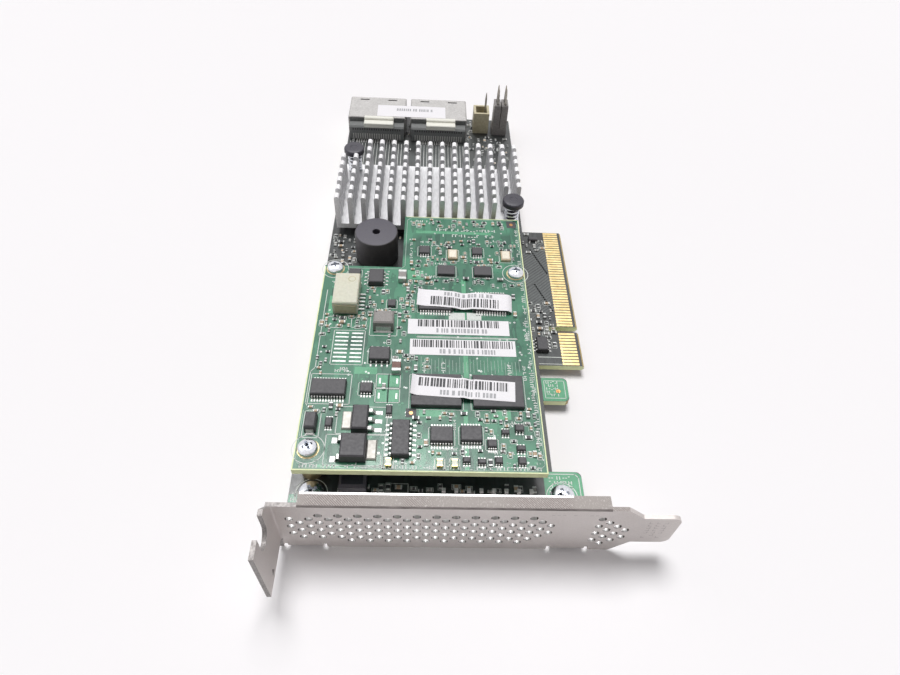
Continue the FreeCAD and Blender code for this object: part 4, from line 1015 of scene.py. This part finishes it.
# frames round the parts
for node, gap, width in (
        ("memory_chips", 0.45, 0.12), ("cache_chips", 0.3, 0.12), ("flat_chips", 0.35, 0.14),
        ("oscillators", 0.4, 0.14), ("module_leds", 0.45, 0.16), ("msop_chips", 0.35, 0.12),
        ("ssop_chips", 0.3, 0.14), ("so8_chips", 0.3, 0.12)):
    for low, high in solids_of(node, MODULE):
        if high[0] - low[0] > 1.0 and high[1] - low[1] > 1.2:
            marks.frame_round(low, high, gap, width)
for corners in (
        (6.2, 1.2, 18.6, 8.5), (8.0, 8.7, 18.8, 15.6), (1.0, 7.6, 4.5, 14.3),
        (4.8, 27.2, 12.2, 37.6), (2.6, 38.4, 6.0, 42.0), (8.6, 38.6, 12.2, 41.9),
        (13.2, 36.2, 19.8, 43.6), (15.8, 16.9, 18.6, 20.6), (18.6, 16.9, 21.2, 20.6),
        (15.8, 20.8, 18.6, 24.7), (18.6, 20.8, 21.2, 24.7), (1.1, 16.2, 10.2, 24.4),
        (24.6, 36.0, 49.0, 36.3), (13.0, 0.9, 18.0, 3.9)):
    marks.frame(*corners, 0.16)
# outline along the board's edges, with its cut corners
edge = 0.55
right, rear = module_width - edge, module_length - edge
marks.line([(edge, 14.5), (edge, 2.2), (2.2, edge), (module_width - 2.0, edge), (right, 2.0),
            (right, module_length - 2.0), (module_width - 2.0, rear), (22.0, rear),
            (20.9, module_length - 1.6), (20.9, 60.6), (19.8, 59.4), (2.2, 59.2)], 0.14, SKIN, 1)
marks.line([(1.5, 15.2), (0.7, 16.4), (0.7, 25.0), (1.6, 26.2), (1.6, 51.0)], 0.16)
# rings and lands at the screws
for x, y, _ in MODULE_SCREWS:
    lands.ring(x, y, 1.3, 2.35, SKIN, 3, 48)
    marks.ring(x, y, 3.3, 3.46, SKIN, 0, 56)
# unfitted parts: two columns of long lands, and four square ones
for row in range(8):
    v = 28.2 + row * 1.22
    lands.around(6.8, v, 3.1, 0.46)
    lands.around(10.4, v, 2.7, 0.46)
for u, v in ((17.2, 18.7), (19.9, 18.7), (17.2, 22.8), (19.9, 22.8)):
    lands.around(u, v, 2.2, 3.2, SKIN * 0.6, 1)
    lands.around(u + (0.6 if u > 18 else -0.6), v, 0.4, 1.5)
# areas of unbroken copper under the lacquer
for area in (
        (28.5, 14.3, 5.7, 1.8), (43.8, 14.3, 4.2, 2.6), (35.9, 8.0, 0.9, 14.8),
        (36.3, 27.5, 1.1, 6.6), (36.3, 52.4, 1.1, 7.2), (23.8, 57.4, 4.2, 3.4),
        (13.2, 25.6, 5.2, 2.0), (36.2, 43.2, 1.0, 2.4), (4.0, 46.0, 3.0, 6.0),
        (9.6, 1.0, 9.0, 0.7), (34.0, 74.6, 21.0, 1.1)):
    lands.around(*area, SKIN * 0.5, 1)
marks.around(34.4, 43.1, 4.0, 2.3)
marks.around(38.7, 43.2, 3.6, 2.4)
# fiducial marks
for u, v, wide, long, radius in ((50.5, 78.9, 2.6, 2.8, 0.5), (23.9, 14.3, 2.3, 2.3, 0.42)):
    lands.around(u, v, wide, long, SKIN, 4)
    lands.ring(u, v, 0.0, radius, SKIN * 1.5, 2, 20)
# rows and columns of strokes where lettering stands
for row in (
        (29.5, 75.8, 20, 1.1), (30.5, 73.4, 18, 1.1), (25.0, 70.4, 4, 0.9), (39.0, 17.0, 7, 0.7),
        (26.0, 56.9, 9, 0.7), (39.5, 56.9, 8, 0.7), (44.0, 12.2, 6, 0.7), (24.2, 33.8, 2, 0.8),
        (42.0, 4.7, 8, 0.7), (31.0, 5.4, 7, 0.6), (14.2, 44.6, 5, 0.7), (6.4, 25.4, 7, 0.7),
        (27.0, 61.9, 9, 0.7), (40.0, 61.9, 9, 0.7), (23.5, 79.2, 12, 0.8), (2.6, 53.8, 5, 0.7),
        (7.5, 26.1, 4, 0.6), (45.2, 71.6, 5, 0.7)):
    dashes(marks, *row)
for column in (
        (51.3, 18.5, 18, 0.8), (51.2, 36.0, 12, 0.7), (22.4, 64.0, 12, 0.7), (2.4, 18.0, 8, 0.7),
        (51.3, 4.0, 9, 0.7), (49.9, 24.0, 8, 0.7), (26.6, 24.9, 6, 0.9), (31.0, 24.9, 6, 0.9),
        (46.4, 25.3, 6, 0.9), (33.4, 10.4, 6, 0.6)):
    dashes(marks, *column, True)
# routed lines beside the memory
for number in range(30):
    u = 25.0 + number * 0.82
    marks.line([(u, 24.9 + dice.uniform(0, 1.4)), (u, 28.4 + dice.uniform(0, 1.8))], 0.09,
               SKIN * 0.7, 1)
# the print along the front and right edges
for number in range(24):
    dashes(marks, 1.8 + number * 2.1, 1.0, 3, 0.85, chance=0.95)
    dashes(marks, 2.4 + number * 2.1, 2.3, 2, 0.6, False, 1, 0.7)
for number in range(18):
    dashes(marks, module_width - 1.1, 2.6 + number * 4.2, 5, 0.8, True, 0, 0.95)
# bare laminate along the routed edge
rim = Piece("module_rim", MODULE, laminate)
for corners in ((0.0, 0.0, module_width, 0.28), (0.0, 0.28, 0.26, 59.6),
                (module_width - 0.26, 0.28, module_width, module_length - 0.2),
                (20.6, module_length - 0.22, module_width - 0.3, module_length)):
    rim.patch(*corners, SKIN * 0.8)
for piece in (rim, marks, lands):
    piece.make("module_mask")


# ---- pressed marks on the bracket: faint strokes where lettering stands, a dark wedge of painted shade on the screw tab, and a pale strip of painted highlight along the lip's rear edge
pressed = Piece("bracket_marks", corner("bracket"), shade_steel, mark_steel, highlight_steel)


def pressed_stroke(x, z, wide, tall):
    y = TAB_DEPTH - 0.015
    pressed.add([(x, y, z), (x + wide, y, z), (x + wide, y, z + tall), (x, y, z + tall)],
                [(0, 1, 2, 3)], 1)


for column in range(3):
    for number in range(7):
        if dice.random() < 0.85:
            x, z = 73.0 + column * 1.5, 6.4 + number * 1.1
            pressed_stroke(x, z, 0.75, 0.16)
            pressed_stroke(x + dice.choice((0.0, 0.6)), z, 0.16, 0.7)
for number in range(9):
    if dice.random() < 0.8:
        pressed_stroke(53.4 + number * 1.05, 16.2, 0.62, 0.16)
# a dark wedge on the screw tab: painted shade
pressed.add([(0.875, 3.4, 5.5), (0.875, 4.7, 5.5), (0.875, 4.0, 7.3)], [(0, 1, 2)])
# a pale strip along the lip's rear edge: painted highlight
pressed.patch(LIP_START + 0.2, 14.02, 57.5, 14.42, PLATE_HEIGHT + 0.015, 2)
pressed.make("bracket_steel")


# ---- main board print
field = Piece("main_print", MAIN, ink)
areas = Piece("main_lands", MAIN, solder, module_mask, bright_mask, copper_spot, trace)


def eared(x0, y0, x1, y1):
    """A green patch whose right corners follow the board's rounded ones."""
    cut = 0.4
    outline = [(x0, y0), (x1 - cut * 3, y0), (x1 - cut, y0 + cut), (x1, y0 + cut * 3),
               (x1, y1 - cut * 3), (x1 - cut, y1 - cut), (x1 - cut * 3, y1), (x0, y1)]
    areas.add([(x, y, SKIN * 0.5) for x, y in outline], [tuple(range(8))], 2)


eared(55.1, 6.05, 63.55, 16.55)
eared(57.3, 35.65, 63.65, 42.55)
areas.patch(0.1, 6.1, 9.9, 10.3, SKIN * 0.5, 1)
field.frame(57.9, 36.5, 62.9, 41.7, 0.16)
for number in range(4):
    dashes(field, 0.9, 6.9 + number * 1.1, 3, 0.8, chance=0.95)
for number in range(5):
    dashes(field, 58.6, 37.4 + number * 0.95, 6, 0.7)
for number in range(4):
    dashes(field, 56.4, 11.6 + number * 1.15, 9, 0.8)
field.line([(56.2, 16.0), (62.2, 16.0), (62.9, 15.2), (62.9, 7.0)], 0.2)
areas.ring(61.2, 38.6, 0.0, 0.55, SKIN, 3, 20)
field.line([(57.4, 49.2), (63.9, 49.2)], 0.2)
field.line([(57.4, 47.0), (64.4, 47.0)], 0.16)
for number in range(60):
    y = 47.4 + number * 0.84
    if abs(y - 58.6) > 1.2:
        areas.ring(63.7, y, 0.1, 0.24, SKIN, 0, 8)
# bundles of routed lines that fan out from the edge connector
for number in range(26):
    start = 66.0 + number * 1.12
    turn = 63.2 - (number % 13) * 0.32
    bend = start - (63.6 - turn)
    areas.line([(63.2, start), (turn - 0.4, bend), (55.6, bend - (turn - 56.0) * 0.9)], 0.5,
               SKIN * 0.7, 4)
busy = solids_of("main_board_chips", MAIN) + solids_of("main_board_passives", MAIN)
main_parts = Piece("main_small_parts", MAIN, ceramic_tan, ceramic_dark, ceramic_grey, solder)
MAIN_CLUSTERS = (
    (55.8, 49.8, 62.6, 68.0, 34), (1.0, 79.5, 7.6, 93.6, 34), (0.6, 72.6, 1.4, 79.0, 4),
    (10.8, 10.9, 53.0, 12.6, 22), (43.4, 125.6, 56.4, 148.6, 40), (1.2, 141.4, 2.4, 158.0, 6),
    (20.2, 125.4, 21.2, 158.0, 8), (55.6, 88.0, 62.4, 96.6, 10), (7.8, 91.9, 21.6, 93.9, 8),
    (41.6, 136.0, 43.6, 158.0, 10))
MAIN_SIZES = ((0.55, 1.05), (0.55, 1.05), (1.05, 0.55), (1.05, 0.55), (0.8, 1.55), (1.55, 0.8))
for box in scattered(main_parts, MAIN_CLUSTERS, busy, lambda: dice.choice(MAIN_SIZES),
                     lambda *place: not overlaps(busy, *place, 0.3), (0, 1, 1, 2)):
    if dice.random() < 0.35:
        field.frame_round(*box, 0.22, 0.1)
main_parts.make("passive_grey")
field.frame(21.6, 11.0, 25.3, 13.1, 0.16)
dashes(field, 12.0, 12.8, 6, 0.7)
dashes(field, 1.4, 10.6, 8, 0.7)
for x, y in ((17.8, 79.4), (20.4, 79.6)):
    field.ring(x, y, 0.0, 0.42, SKIN, 0, 16)
# pads and lines between the heat sink and the ports
for number in range(36):
    for x in (2.6 + number * 0.52, 23.9 + number * 0.52):
        areas.line([(x, 124.6 + (number % 3) * 0.6), (x, 142.4)], 0.2, SKIN * 0.8,
                   0 if number % 2 else 4)
for box in solids_of("bracket_screws", MAIN):
    x, y, _ = middle_of(box)
    field.ring(x, y, 3.3, 3.5, SKIN, 0, 48)
field.make("main_mask")
areas.make("main_mask")


# ---- floor, light and camera
PLAIN_SKY = 0.17              # light from the world on the object


def seen_directly(tree, plain, bright):
    """A strength for light, and another for what the camera and reflections see."""
    ray = tree.nodes.new("ShaderNodeLightPath")
    seen = ray.outputs["Is Camera Ray"]
    for name in ("Is Glossy Ray", "Is Transmission Ray"):
        either = tree.nodes.new("ShaderNodeMath")
        either.operation = "MAXIMUM"
        tree.links.new(seen, either.inputs[0])
        tree.links.new(ray.outputs[name], either.inputs[1])
        seen = either.outputs[0]
    mixed = tree.nodes.new("ShaderNodeMapRange")
    mixed.inputs["To Min"].default_value = plain
    mixed.inputs["To Max"].default_value = bright
    tree.links.new(seen, mixed.inputs["Value"])
    return mixed.outputs["Result"]


def floor():
    look = Look("studio_floor", (0.92, 0.90, 0.92), 0.85, **{"Specular IOR Level": 0.2})
    look.colour(look.blend(look.noise(0.004, 2.0), (0.91, 0.89, 0.905), (0.93, 0.912, 0.928)))
    look.set(look.shader, {"Emission Color": (1.0, 1.0, 1.0, 1.0)})
    look.link(seen_directly(look.tree, 0.0, 0.05), look.shader.inputs["Emission Strength"])
    bpy.ops.mesh.primitive_plane_add(size=6.0, location=(0, 0, 0))
    plane = bpy.context.object
    plane.name = "floor"
    plane.data.materials.append(look.material)
    plane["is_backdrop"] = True


def soft_light(name, source, strength, spread, colour=(1.0, 1.0, 1.0)):
    """An even studio light from a direction, as wide in the sky as spread says."""
    light = bpy.data.lights.new(name, "SUN")
    light.energy = strength
    light.angle = math.radians(spread)
    light.color = colour
    lamp = bpy.data.objects.new(name, light)
    lamp.rotation_euler = Vector(source).to_track_quat("Z", "Y").to_euler()
    bpy.context.scene.collection.objects.link(lamp)


def camera(place, pitch, heading, roll, lens):
    """A camera by its place in millimetres and its angles in degrees."""
    data = bpy.data.cameras.new("camera")
    data.sensor_width = 36.0
    data.lens = lens
    data.clip_start = 0.005
    data.clip_end = 20.0
    made = bpy.data.objects.new("camera", data)
    turn = (Matrix.Rotation(math.radians(-heading), 4, "Z")
            @ Matrix.Rotation(math.radians(90.0 - pitch), 4, "X")
            @ Matrix.Rotation(math.radians(roll), 4, "Z"))
    made.matrix_world = Matrix.Translation(Vector(place) * MM) @ turn
    bpy.context.scene.collection.objects.link(made)
    bpy.context.scene.camera = made


floor()
world = bpy.data.worlds.new("studio")
world.use_nodes = True
sky = world.node_tree.nodes["Background"]
sky.inputs["Color"].default_value = (1.0, 0.985, 0.995, 1.0)
shown = seen_directly(world.node_tree, PLAIN_SKY, 1.0)
world.node_tree.links.new(shown, sky.inputs["Strength"])
bpy.context.scene.world = world
bpy.context.scene.view_settings.view_transform = "Standard"
soft_light("top_light", (-0.05, 0.29, 0.95), 2.48, 26.0)
soft_light("left_light", (-0.72, 0.1, 0.68), 0.3, 50.0, (1.0, 0.98, 0.96))
camera((-11.6, -126.085, 129.4), 49.77, 3.91, 4.44, 25.35)

low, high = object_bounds()
{"cad": [list(cad_low), list(cad_high)], "visual": [list(low), list(high)]}
